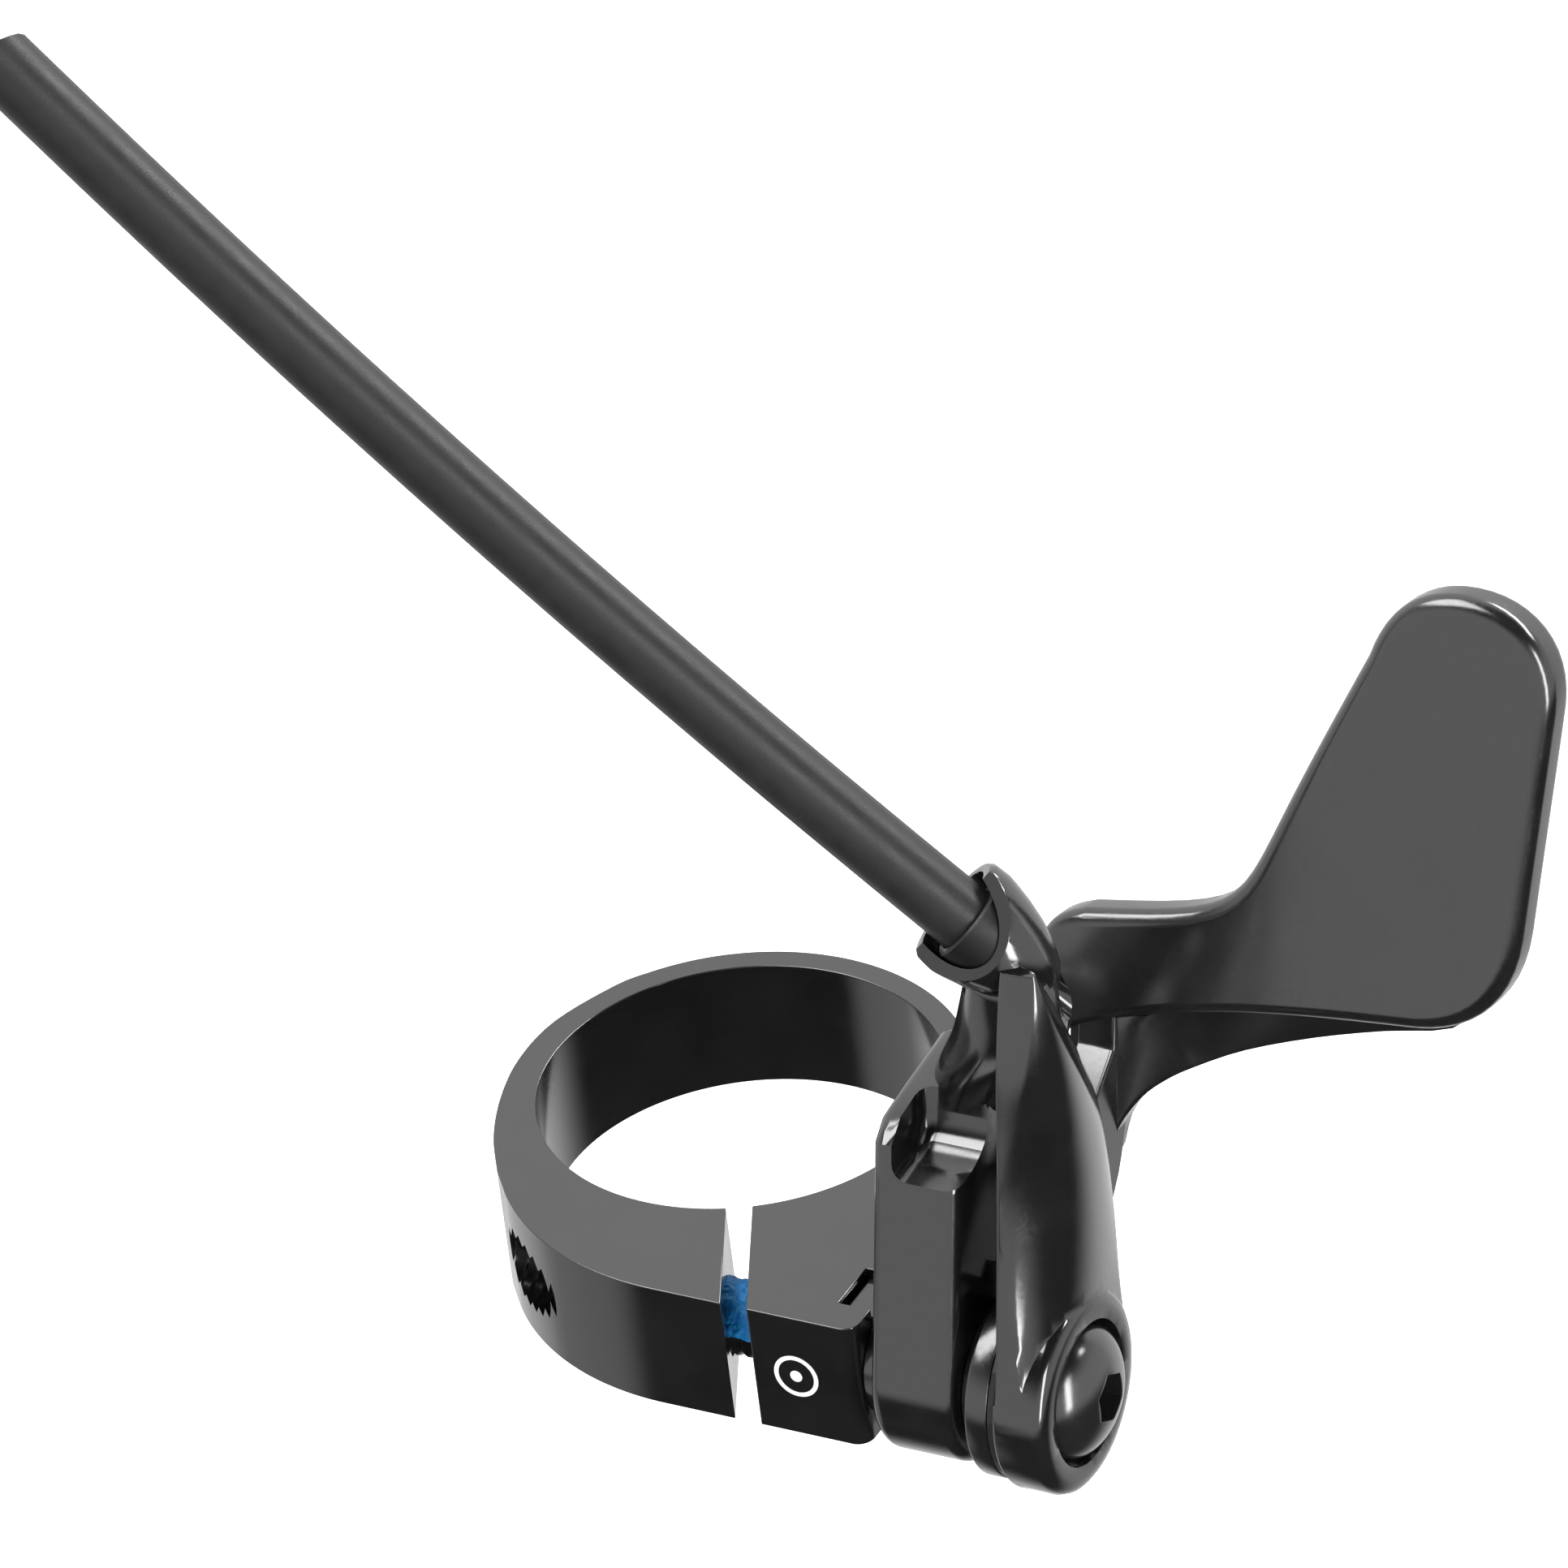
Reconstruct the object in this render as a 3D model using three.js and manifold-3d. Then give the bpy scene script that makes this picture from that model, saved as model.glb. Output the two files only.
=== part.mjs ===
// Thumb shifter for a flat handlebar: a split clamp band, a forged bracket that carries the cable
// housing in a hood, and a thumb lever that swings on the clamp bolt.
// Frame: millimetres. The origin is the centre of the handlebar bore at half the height of the band,
// +Z runs along the handlebar, +X along the bolt towards its head, +Y is the way the thumb pushes.

import * as THREE from 'three';
import { ConvexGeometry } from 'three/addons/geometries/ConvexGeometry.js';
import { mergeVertices } from 'three/addons/utils/BufferGeometryUtils.js';
import Module from 'manifold-3d';

const wasm = await Module();
wasm.setup();

// ---------- driving dimensions ----------

// Clamp band
const BAR_DIAMETER = 22.2;
const BAND_HEIGHT = 7.6;
const BAND_WALL = 1.4;
const LUG_WALL = 4; // the thicker arm in front
const LUG_SHIFT = 3.7; // how far the arm's centre is moved towards the block
const BLOCK_WALL = 4.7; // bore to the face that the bracket is bolted to
const FRONT_WALL = 3.7; // bolt axis to the flat front face
const BLOCK_CORNER = 0.9;
const GAP_WIDTH = 1.4;
const GAP_ANGLE = 65; // how far the gap is turned from +X towards the front
const KEY_WIDTH = 3.2;
const KEY_DEPTH = 1.9;
const EDGE_BREAK = 0.25; // chamfer on machined edges

// Bolt, on an axis parallel to +X
const BOLT_OFFSET = 3.2; // bore to bolt axis
const BOLT_DIAMETER = 4;
const BOLT_LENGTH = 25;
const HEAD_DIAMETER = 7.4;
const HEAD_HEIGHT = 2.2;
const HEAD_RIM = 0.5;
const HEX_SIZE = 2.5;
const HEX_DEPTH = 1.4;
const PATCH_WALL = 0.06;
const PATCH_LENGTH = 4;

// Bracket, lever hub and the thin parts between them, stacked along the bolt
const BASE_THICKNESS = 6;
const BASE_RELIEF = 1; // how far the base plate stands off the block outside its pad
const SLOT_WIDTH = 2.6;
const CHEEK_THICKNESS = 3;
const BASE_BOSS_RADIUS = 4.9;
const CHEEK_BOSS_RADIUS = 5.6;
const BASE_LEAN = 15; // degrees that each upright leans back
const CHEEK_LEAN = 14;
const BASE_FRONT_BREAK = 1.3; // the large chamfer down the front of the base plate
const COUNTERBORE_DEPTH = 1.2;
const HUB_RADIUS = 5.3;
const SPACER_RADIUS = 3.9;
const SPACER_THICKNESS = 0.75;
const WASHER_THICKNESS = 0.3;
const BUSH_WALL = 0.55;
const SLEEVE_WALL = 0.8;

// Lever
const ARM_CLEARANCE = 0.2; // each side of the arm, in the bracket's slot
const PADDLE_THICKNESS = 2.7;
const PADDLE_TILT = 14; // degrees that the paddle leans away from the thumb
const PADDLE_REACH = 49; // bar axis to the end of the paddle
const PADDLE_TOP = 24; // root of the paddle to its tip, along its face

// Cable housing and its hood
const HOUSING_DIAMETER = 3.7;
const FERRULE_WALL = 0.4;
const FERRULE_LENGTH = 2.4;
const HOOD_WALL = 0.75;
const HOOD_LIP = 0.5; // how far the hood reaches over the housing past its mouth
const HOOD_LENGTH = 6.9;
const HOOD_FLOOR = 3.3;
const CABLE_HOLE = 1.6;

// Cable anchor on the lever
const ANCHOR_DIAMETER = 3;
const ANCHOR_HEAD_DIAMETER = 5;
const ANCHOR_HEAD_HEIGHT = 2;
const ANCHOR_HEX = 2;
const ANCHOR_FLOOR = 0.8; // what is left of the paddle in front of the threaded hole
const ANCHOR_WASHER_THICKNESS = 0.7;

// Clearances
const FIT = 0.05; // faces that are clamped or slide together
const BOLT_CLEARANCE = 0.1; // each side, round the bolt
const LOOSE = 0.2; // each side, where a piece drops in

// ---------- places worked out from them ----------

const halfHeight = BAND_HEIGHT / 2;
const boreRadius = BAR_DIAMETER / 2;
const lugRadius = boreRadius + LUG_WALL;
const blockReach = boreRadius + BLOCK_WALL;
const boltReach = boreRadius + BOLT_OFFSET;
const boltY = -boltReach;
const frontReach = boltReach + FRONT_WALL;
const boltRadius = BOLT_DIAMETER / 2;
const boltHole = boltRadius + BOLT_CLEARANCE;

const baseStart = blockReach + FIT;
const baseEnd = baseStart + BASE_THICKNESS;
const cheekStart = baseEnd + SLOT_WIDTH;
const cheekEnd = cheekStart + CHEEK_THICKNESS;
const headSeat = cheekEnd - COUNTERBORE_DEPTH;
const hubStart = baseEnd + SPACER_THICKNESS + 2 * FIT;
const hubEnd = cheekStart - WASHER_THICKNESS - 2 * FIT;
const slotMiddle = (baseEnd + cheekStart) / 2;
const sleeveRadius = boltHole + SLEEVE_WALL;
const bushHole = sleeveRadius + FIT;
const bushRadius = bushHole + BUSH_WALL;

const tilt = THREE.MathUtils.degToRad(PADDLE_TILT);
const paddleRoot = new THREE.Vector3(slotMiddle, boltY + 13.3, 18);
const anchorDepth = PADDLE_THICKNESS - ANCHOR_FLOOR;
const faceNormal = new THREE.Vector3(0, -Math.cos(tilt), Math.sin(tilt)); // towards the thumb

// the housing leaves the hood along this line
const housingWay = new THREE.Vector3(-0.71, -0.14, 0.69).normalize();
const hoodMouth = new THREE.Vector3(baseEnd - 0.35, boltY + 2.85, 27.45);
const hoodBore = HOUSING_DIAMETER / 2 + FERRULE_WALL + LOOSE;
const hoodRadius = hoodBore + HOOD_WALL;
const hoodEnd = HOOD_LIP - HOOD_LENGTH;

// ---------- helpers ----------

const INTO_YZ = new THREE.Matrix4().set(0, 0, 1, 0, 1, 0, 0, 0, 0, 1, 0, 0, 0, 0, 0, 1);
const LATHE_ALONG_X = new THREE.Matrix4().set(0, 1, 0, 0, 0, 0, 1, 0, 1, 0, 0, 0, 0, 0, 0, 1);

// A closed three.js geometry as a solid that can be cut and joined.
function solid(geometry) {
  const bare = geometry.index ? geometry.toNonIndexed() : geometry.clone();
  bare.deleteAttribute('normal');
  bare.deleteAttribute('uv');
  const merged = mergeVertices(bare, 1e-4);
  return new wasm.Manifold(
    new wasm.Mesh({
      numProp: 3,
      vertProperties: new Float32Array(merged.attributes.position.array),
      triVerts: new Uint32Array(merged.index.array),
    }),
  );
}

// A solid as a named mesh with its finish.
function piece(name, shape, material) {
  const { vertProperties, triVerts } = shape.getMesh();
  const geometry = new THREE.BufferGeometry();
  geometry.setAttribute('position', new THREE.BufferAttribute(vertProperties, 3));
  geometry.setIndex(new THREE.BufferAttribute(triVerts, 1));
  geometry.computeVertexNormals();
  const mesh = new THREE.Mesh(geometry, material);
  mesh.name = name;
  return mesh;
}

function extruded(shape, depth, bevel, curveSegments) {
  return new THREE.ExtrudeGeometry(shape, {
    depth: depth - 2 * bevel,
    bevelEnabled: bevel > 0,
    bevelThickness: bevel,
    bevelSize: bevel,
    bevelOffset: -bevel,
    bevelSegments: bevel > 0.5 ? 2 : 1,
    curveSegments,
  }).translate(0, 0, bevel);
}

// A shape drawn in (Y, Z), thick from one X to another.
function plate(shape, from, to, bevel = 0, curveSegments = 10) {
  const geometry = extruded(shape, to - from, bevel, curveSegments);
  return solid(geometry.applyMatrix4(INTO_YZ).translate(from, 0, 0));
}

// A profile of [radius, x] points turned about an axis parallel to X.
function turned(profile, y = boltY, z = 0, segments = 32) {
  const points = profile.map(([radius, x]) => new THREE.Vector2(radius, x));
  const geometry = new THREE.LatheGeometry(points, segments);
  return solid(geometry.applyMatrix4(LATHE_ALONG_X).translate(0, y, z));
}

function rod(radius, from, to, y, z, segments) {
  return turned([[0, from], [radius, from], [radius, to], [0, to]], y, z, segments);
}

// A tube whose wall closes on itself.
function tube(inner, outer, from, to, segments = 32) {
  return turned([[inner, from], [outer, from], [outer, to], [inner, to], [inner, from]], boltY, 0, segments);
}

function box(from, to) {
  const size = new THREE.Vector3().subVectors(to, from);
  const middle = new THREE.Vector3().addVectors(from, to).multiplyScalar(0.5);
  return solid(new THREE.BoxGeometry(size.x, size.y, size.z).translate(...middle.toArray()));
}

// The turn and shift that lay +Y on a direction, starting at a point.
function along(direction, start) {
  const turn = new THREE.Quaternion().setFromUnitVectors(new THREE.Vector3(0, 1, 0), direction);
  return new THREE.Matrix4().compose(start, turn, new THREE.Vector3(1, 1, 1));
}

// A profile of [radius, distance] points turned about the housing's own line, out of the hood.
function onHousing(profile, segments = 24) {
  const points = profile.map(([radius, distance]) => new THREE.Vector2(radius, distance));
  const geometry = new THREE.LatheGeometry(points, segments);
  return solid(geometry.applyMatrix4(along(housingWay, hoodMouth)));
}

// A block that fills everything in front of a plane, to cut with.
function beyond(facing, point) {
  const size = 40;
  const block = new THREE.BoxGeometry(size, size, size).translate(0, size / 2, 0);
  return solid(block.applyMatrix4(along(facing, point)));
}

function polar(radius, degrees) {
  const angle = THREE.MathUtils.degToRad(degrees);
  return new THREE.Vector2(radius * Math.cos(angle), radius * Math.sin(angle));
}

// ---------- clamp band ----------

// The outline of the band seen along the bar: thin round the back, thicker in the left arm,
// and square where the bracket and the bolt sit.
function bandOutline() {
  const back = boreRadius + BAND_WALL;
  const lugCentreY = lugRadius - frontReach;
  const shape = new THREE.Shape();
  const thickening = [
    polar(back + 0.05, 150),
    polar(back + 0.2, 170),
    polar(back + 0.33, 187),
    polar(back + 0.55, 203),
    polar(back + 1.1, 218),
    polar(back + 1.85, 231),
  ];
  const flankStart = polar(back, 2);
  shape.moveTo(flankStart.x, flankStart.y);
  shape.absarc(0, 0, back, THREE.MathUtils.degToRad(2), THREE.MathUtils.degToRad(140), false);
  shape.splineThru(thickening);
  shape.absarc(LUG_SHIFT, lugCentreY, lugRadius, Math.PI * 1.23, Math.PI * 1.5, false);
  shape.lineTo(blockReach - BLOCK_CORNER, -frontReach);
  shape.absarc(blockReach - BLOCK_CORNER, BLOCK_CORNER - frontReach, BLOCK_CORNER, -Math.PI / 2, 0, false);
  shape.lineTo(blockReach, boltY + 5.4);
  shape.lineTo(flankStart.x, flankStart.y);
  return shape;
}

function clampBand() {
  const outline = bandOutline();
  const bore = new THREE.Path();
  bore.absarc(0, 0, boreRadius, 0, Math.PI * 2, true);
  outline.holes.push(bore);
  const ring = solid(extruded(outline, BAND_HEIGHT, EDGE_BREAK, 14).translate(0, 0, -halfHeight));

  const gap = solid(
    new THREE.BoxGeometry(frontReach, GAP_WIDTH, BAND_HEIGHT * 2)
      .translate(boreRadius - 1 + frontReach / 2, GAP_WIDTH * 0.2, 0)
      .rotateZ(THREE.MathUtils.degToRad(-GAP_ANGLE)),
  );
  const key = box(
    new THREE.Vector3(blockReach - KEY_DEPTH, boltY - KEY_WIDTH / 2, -BAND_HEIGHT),
    new THREE.Vector3(blockReach + 1, boltY + KEY_WIDTH / 2, BAND_HEIGHT),
  );
  const hole = rod(boltHole, -frontReach, blockReach + 1, boltY, 0, 32);
  return ring.subtract(gap).subtract(key).subtract(hole);
}

// ---------- bolt ----------

function pivotBolt() {
  const radius = HEAD_DIAMETER / 2;
  const dome = [];
  const steps = 5;
  const domeEnd = Math.PI * 0.39;
  for (let i = 0; i <= steps; i += 1) {
    const angle = (i / steps) * domeEnd;
    const rise = ((HEAD_HEIGHT - HEAD_RIM) * Math.sin(angle)) / Math.sin(domeEnd);
    dome.push([radius * Math.cos(angle) ** 0.8, headSeat + HEAD_RIM + rise]);
  }
  const tip = headSeat - BOLT_LENGTH;
  const bolt = turned([
    [0, tip],
    [boltRadius - 0.4, tip],
    [boltRadius, tip + 0.4],
    [boltRadius, headSeat],
    [radius, headSeat],
    ...dome,
    [0, headSeat + HEAD_HEIGHT],
  ]);
  const hex = new THREE.CylinderGeometry(HEX_SIZE / Math.sqrt(3), HEX_SIZE / Math.sqrt(3), HEX_DEPTH * 2, 6)
    .rotateZ(Math.PI / 2)
    .translate(headSeat + HEAD_HEIGHT, boltY, 0);
  return bolt.subtract(solid(hex));
}

// The dry adhesive patch on the thread, where it crosses the gap in the band.
function threadLockPatch() {
  const inner = boltRadius + PATCH_WALL / 3;
  const middle = boltReach / Math.tan(THREE.MathUtils.degToRad(GAP_ANGLE)) + GAP_WIDTH / 2;
  return tube(inner, inner + PATCH_WALL * 0.8, middle - PATCH_LENGTH / 2, middle + PATCH_LENGTH / 2);
}

// ---------- bracket ----------

// A boss round the bolt with an upright on it that leans back, drawn in (Y, Z).
function leaningOutline(radius, lean, top) {
  const shape = new THREE.Shape();
  const angle = THREE.MathUtils.degToRad(lean);
  shape.moveTo(boltY + radius * Math.cos(0.1), -radius * Math.sin(0.1));
  shape.absarc(boltY, 0, radius, -0.1, Math.PI - angle, true);
  top(shape);
  shape.lineTo(boltY + radius * Math.cos(0.1), -radius * Math.sin(0.1));
  return shape;
}

function basePlate() {
  const outline = leaningOutline(BASE_BOSS_RADIUS, BASE_LEAN, (shape) => {
    shape.lineTo(boltY - 1.8, 12.4);
    shape.quadraticCurveTo(boltY - 0.9, 15.6, boltY + 2.6, 16);
    shape.lineTo(boltY + 7.4, 16.4);
    shape.quadraticCurveTo(boltY + 8.6, 16.2, boltY + 8, 13.4);
  });
  const upright = plate(outline, baseStart + BASE_RELIEF, baseEnd, 0.5);
  const pad = rod(BASE_BOSS_RADIUS - 1.6, baseStart, baseStart + BASE_RELIEF + 1, boltY, 0, 32);
  const tongue = box(
    new THREE.Vector3(blockReach - KEY_DEPTH + LOOSE, boltY - KEY_WIDTH / 2 + FIT, -halfHeight + 1.2),
    new THREE.Vector3(baseStart + BASE_RELIEF + 1, boltY + KEY_WIDTH / 2 - FIT, halfHeight - 0.5),
  );
  const lean = THREE.MathUtils.degToRad(BASE_LEAN);
  const frontEdge = beyond(
    new THREE.Vector3(-1, -Math.cos(lean), Math.sin(lean)).normalize(),
    new THREE.Vector3(baseStart + BASE_RELIEF + BASE_FRONT_BREAK, boltY - BASE_BOSS_RADIUS * Math.cos(lean), 1.3),
  );
  return upright.subtract(frontEdge).add(pad).add(tongue);
}

function cheek() {
  const outline = leaningOutline(CHEEK_BOSS_RADIUS, CHEEK_LEAN, (shape) => {
    shape.lineTo(boltY - 2.5, 13);
    shape.bezierCurveTo(boltY - 1.7, 17, boltY - 1.2, 21, boltY + 0.9, 26.2);
    shape.bezierCurveTo(boltY + 3, 25.6, boltY + 5.1, 20.5, boltY + 6.8, 16);
    shape.bezierCurveTo(boltY + 8, 12.5, boltY + 6.9, 7, boltY + 5.9, 2.5);
  });
  // the outer face falls away to a thin front edge and a thinner back edge, above the boss
  const front = beyond(
    new THREE.Vector3(0.9, -0.42, 0.13).normalize(),
    new THREE.Vector3(cheekEnd, boltY - 4.2, 5),
  );
  const back = beyond(
    new THREE.Vector3(0.9, 0.42, 0.03).normalize(),
    new THREE.Vector3(cheekEnd, boltY + 5.1, 8),
  );
  return plate(outline, cheekStart + 0.15, cheekEnd, 0.4).subtract(front).subtract(back);
}

function cheekBoss() {
  return turned([
    [0, cheekStart],
    [HUB_RADIUS + 0.2, cheekStart],
    [CHEEK_BOSS_RADIUS, cheekStart + 0.6],
    [CHEEK_BOSS_RADIUS, cheekEnd - 0.5],
    [CHEEK_BOSS_RADIUS - 0.5, cheekEnd],
    [0, cheekEnd],
  ]);
}

function hoodShell() {
  return onHousing([
    [0, hoodEnd],
    [hoodRadius * 0.32, hoodEnd + 0.4],
    [hoodRadius * 0.6, hoodEnd + 1.3],
    [hoodRadius * 0.8, hoodEnd + 2.4],
    [hoodRadius * 0.94, hoodEnd + 3.7],
    [hoodRadius, hoodEnd + 5],
    [hoodRadius * 0.97, HOOD_LIP],
    [0, HOOD_LIP],
  ]);
}

// The blank that joins the base plate to the cheek and the hood, in front of the lever.
function neck() {
  const corners = [
    [baseStart + 2.2, boltY + 3.2, 13.5],
    [baseStart + 2.2, boltY + 7.2, 15],
    [baseEnd, boltY + 1.5, 13.5],
    [baseEnd, boltY + 6.6, 14.5],
    [cheekStart + 1, boltY + 0.2, 17.5],
    [cheekStart + 1, boltY + 6, 17.5],
    [baseStart + 4.4, boltY + 2.4, 22.5],
    [baseStart + 4.6, boltY + 5.6, 22],
    [cheekStart + 1.8, boltY + 1.6, 24.5],
    [cheekStart + 1.8, boltY + 5, 23.5],
  ];
  return solid(new ConvexGeometry(corners.map((corner) => new THREE.Vector3(...corner))));
}

// The open side of the hood, where the housing drops in: everything in front of this plane goes.
function hoodOpening() {
  const facing = new THREE.Vector3(-0.15, -0.8, 0.58).normalize();
  return beyond(facing, hoodMouth.clone().addScaledVector(housingWay, 0.2).addScaledVector(facing, 0.4));
}

function bracket() {
  const floor = hoodEnd + HOOD_FLOOR;
  const boreCut = onHousing([[0, floor], [hoodBore, floor], [hoodBore, 12], [0, 12]]);
  const cableCut = onHousing([[0, -20], [CABLE_HOLE / 2, -20], [CABLE_HOLE / 2, 12], [0, 12]], 12);
  const slot = plate(slotOutline(), baseEnd, cheekStart);
  const boltCut = rod(boltHole, baseStart - KEY_DEPTH - 1, cheekEnd + 1, boltY, 0, 32);
  const counterbore = rod(HEAD_DIAMETER / 2 + 0.3, headSeat, cheekEnd + 1, boltY, 0, 32);
  const body = basePlate().add(cheek()).add(cheekBoss()).add(neck());
  const hooded = body.subtract(slot).add(hoodShell().subtract(hoodOpening()));
  return hooded.subtract(boreCut).subtract(cableCut).subtract(boltCut).subtract(counterbore).subtract(pocket());
}

// The room that the lever hub swings in, drawn in (Y, Z).
function slotOutline() {
  const shape = new THREE.Shape();
  shape.moveTo(boltY - 8, -8);
  shape.lineTo(boltY + 12, -8);
  shape.lineTo(boltY + 12, 12);
  shape.lineTo(boltY + 4.6, 12.4);
  shape.lineTo(boltY + 1, 15.4);
  shape.lineTo(boltY - 8, 15.4);
  return shape;
}

// The hollow in the top of the base plate, which leaves a thin lip on its outer side.
function pocket() {
  const shape = new THREE.Shape();
  shape.moveTo(boltY - 6, 14.4);
  shape.lineTo(boltY + 0.8, 14.6);
  shape.quadraticCurveTo(boltY + 2.2, 15, boltY + 2.6, 16.4);
  shape.lineTo(boltY + 3, 21);
  shape.lineTo(boltY - 6, 21);
  return plate(shape, baseStart + 2.3, baseEnd + 1);
}

// ---------- lever ----------

// The paddle seen square on: across it is X, up it is the distance along its face from the root.
function paddleOutline() {
  const tip = PADDLE_REACH;
  const top = PADDLE_TOP;
  const shape = new THREE.Shape();
  shape.moveTo(slotMiddle - 3.6, -1);
  shape.bezierCurveTo(slotMiddle - 3.6, 1.4, slotMiddle - 2.4, 2, slotMiddle - 0.8, 2.5);
  shape.bezierCurveTo(slotMiddle + 8, 3.9, tip - 18, 4.2, tip - 15.4, 9.9);
  shape.lineTo(tip - 10.6, top - 4.2);
  shape.bezierCurveTo(tip - 9.6, top - 1.2, tip - 7.6, top, tip - 5.2, top);
  shape.bezierCurveTo(tip - 2, top, tip + 0.3, top - 2.2, tip, top - 5.6);
  shape.lineTo(tip - 1.5, 5.6);
  shape.bezierCurveTo(tip - 2, 1.4, tip - 4.6, -0.9, tip - 8, -1.1);
  shape.bezierCurveTo(tip - 14, -1.9, tip - 20, -3.4, slotMiddle + 4.8, -6.3);
  shape.bezierCurveTo(slotMiddle + 2.4, -7.4, slotMiddle + 1.1, -9, slotMiddle + 0.6, -12);
  shape.lineTo(slotMiddle - 1.8, -12);
  shape.lineTo(slotMiddle - 1.8, -5);
  shape.closePath();
  return shape;
}

function paddle() {
  const geometry = extruded(paddleOutline(), PADDLE_THICKNESS, 0.9, 10);
  // stand it up so that its face is towards the thumb, then lean it back
  geometry.translate(0, 0, -PADDLE_THICKNESS).rotateX(Math.PI / 2 - tilt);
  geometry.translate(0, paddleRoot.y, paddleRoot.z);
  return solid(geometry);
}

// The arm from the hub up to the paddle, drawn in (Y, Z).
function armOutline() {
  const shape = new THREE.Shape();
  shape.moveTo(boltY + 4.3, -2.2);
  shape.lineTo(boltY + 11.4, 5.6);
  shape.quadraticCurveTo(paddleRoot.y + 1, 9, paddleRoot.y + 1.6, paddleRoot.z - 2);
  shape.lineTo(paddleRoot.y + 2.4, paddleRoot.z + 1);
  shape.lineTo(paddleRoot.y + 0.6, paddleRoot.z + 1);
  shape.lineTo(paddleRoot.y - 0.9, paddleRoot.z - 5);
  shape.lineTo(boltY + 6.9, 9.4);
  shape.lineTo(boltY + 0.9, 4.8);
  shape.closePath();
  return shape;
}

function lever() {
  const hub = rod(HUB_RADIUS, hubStart, hubEnd, boltY, 0, 40);
  const web = plate(armOutline(), hubStart, hubEnd);
  // clear of the boss round the bolt, the arm is as thick as the slot lets it be
  const clear = rod(CHEEK_BOSS_RADIUS + 0.4, baseEnd - 2, cheekStart + 4, boltY, 0, 40);
  const arm = plate(armOutline(), baseEnd + ARM_CLEARANCE, cheekStart - ARM_CLEARANCE).subtract(clear);
  const bushHoleCut = rod(bushRadius + FIT, hubStart - 1, hubEnd + 1, boltY, 0, 32);
  const threadRadius = ANCHOR_DIAMETER / 2 + FIT;
  const thread = onPaddle([[0, -anchorDepth], [threadRadius, -anchorDepth], [threadRadius, 2], [0, 2]]);
  return hub.add(web).add(arm).add(paddle()).subtract(bushHoleCut).subtract(thread);
}

// ---------- cable anchor ----------

// A profile of [radius, distance] points turned about the anchor's axis, which is square to the
// paddle. The distance counts from the back of the paddle, away from the thumb.
function onPaddle(profile, segments = 24) {
  const up = new THREE.Vector3(0, Math.sin(tilt), Math.cos(tilt));
  const start = paddleRoot.clone().addScaledVector(up, -1.6).addScaledVector(faceNormal, -PADDLE_THICKNESS);
  start.x = slotMiddle + 2.2;
  const points = profile.map(([radius, distance]) => new THREE.Vector2(radius, distance));
  const geometry = new THREE.LatheGeometry(points, segments);
  return solid(geometry.applyMatrix4(along(faceNormal.clone().negate(), start)));
}

function anchorWasher() {
  const inner = ANCHOR_DIAMETER / 2 + FIT;
  const outer = ANCHOR_HEAD_DIAMETER / 2 + 0.3;
  return onPaddle([
    [inner, FIT],
    [outer, FIT],
    [outer, FIT + ANCHOR_WASHER_THICKNESS],
    [inner, FIT + ANCHOR_WASHER_THICKNESS],
    [inner, FIT],
  ]);
}

function anchorScrew() {
  const seat = 2 * FIT + ANCHOR_WASHER_THICKNESS;
  const radius = ANCHOR_HEAD_DIAMETER / 2;
  const top = seat + ANCHOR_HEAD_HEIGHT;
  const screw = onPaddle([
    [0, LOOSE - anchorDepth],
    [ANCHOR_DIAMETER / 2, LOOSE - anchorDepth],
    [ANCHOR_DIAMETER / 2, seat],
    [radius, seat],
    [radius, top - 0.4],
    [radius - 0.4, top],
    [0, top],
  ]);
  const across = ANCHOR_HEX / Math.sqrt(3);
  return screw.subtract(onPaddle([[0, top - 1.2], [across, top - 1.2], [across, top + 1], [0, top + 1]], 6));
}

// ---------- cable housing ----------

// Distances are along the housing's line, zero at the hood's mouth and negative inside it.
const housingStart = hoodEnd + HOOD_FLOOR + 0.8;

function ferrule() {
  const floor = housingStart - 0.5;
  const inner = HOUSING_DIAMETER / 2 + FIT;
  const outer = inner + FERRULE_WALL;
  return onHousing([
    [CABLE_HOLE / 2, floor],
    [outer, floor],
    [outer, floor + FERRULE_LENGTH],
    [inner, floor + FERRULE_LENGTH],
    [inner, housingStart - 0.1],
    [CABLE_HOLE / 2, housingStart - 0.1],
    [CABLE_HOLE / 2, floor],
  ]);
}

// The centreline, chosen by hand: straight out of the hood, then one slow bow to the cut end.
const HOUSING_ROUTE = [
  [23.13, -11.13, 25.86],
  [21.39, -11.47, 27.56],
  [19.65, -11.81, 29.26],
  [17.2, -12.28, 31.7],
  [13.75, -12.92, 35.1],
  [10.3, -13.54, 38.57],
  [6.85, -14.14, 42.07],
  [3.45, -14.72, 45.54],
  [0.05, -15.28, 49.05],
  [-3.3, -15.82, 52.56],
  [-6.65, -16.34, 56.1],
  [-10, -16.84, 59.66],
  [-13.35, -17.31, 63.26],
  [-16.65, -17.76, 66.85],
  [-19.5, -18.14, 69.98],
  [-22.3, -18.51, 73.08],
  [-25.1, -18.85, 76.2],
];

function housing() {
  const route = new THREE.CatmullRomCurve3(HOUSING_ROUTE.map((point) => new THREE.Vector3(...point)));
  const section = new THREE.Shape();
  section.absarc(0, 0, HOUSING_DIAMETER / 2, 0, Math.PI * 2, false);
  const sweep = { steps: 16, curveSegments: 5, bevelEnabled: false, extrudePath: route };
  return solid(new THREE.ExtrudeGeometry(section, sweep));
}

// ---------- assembly ----------

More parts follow.
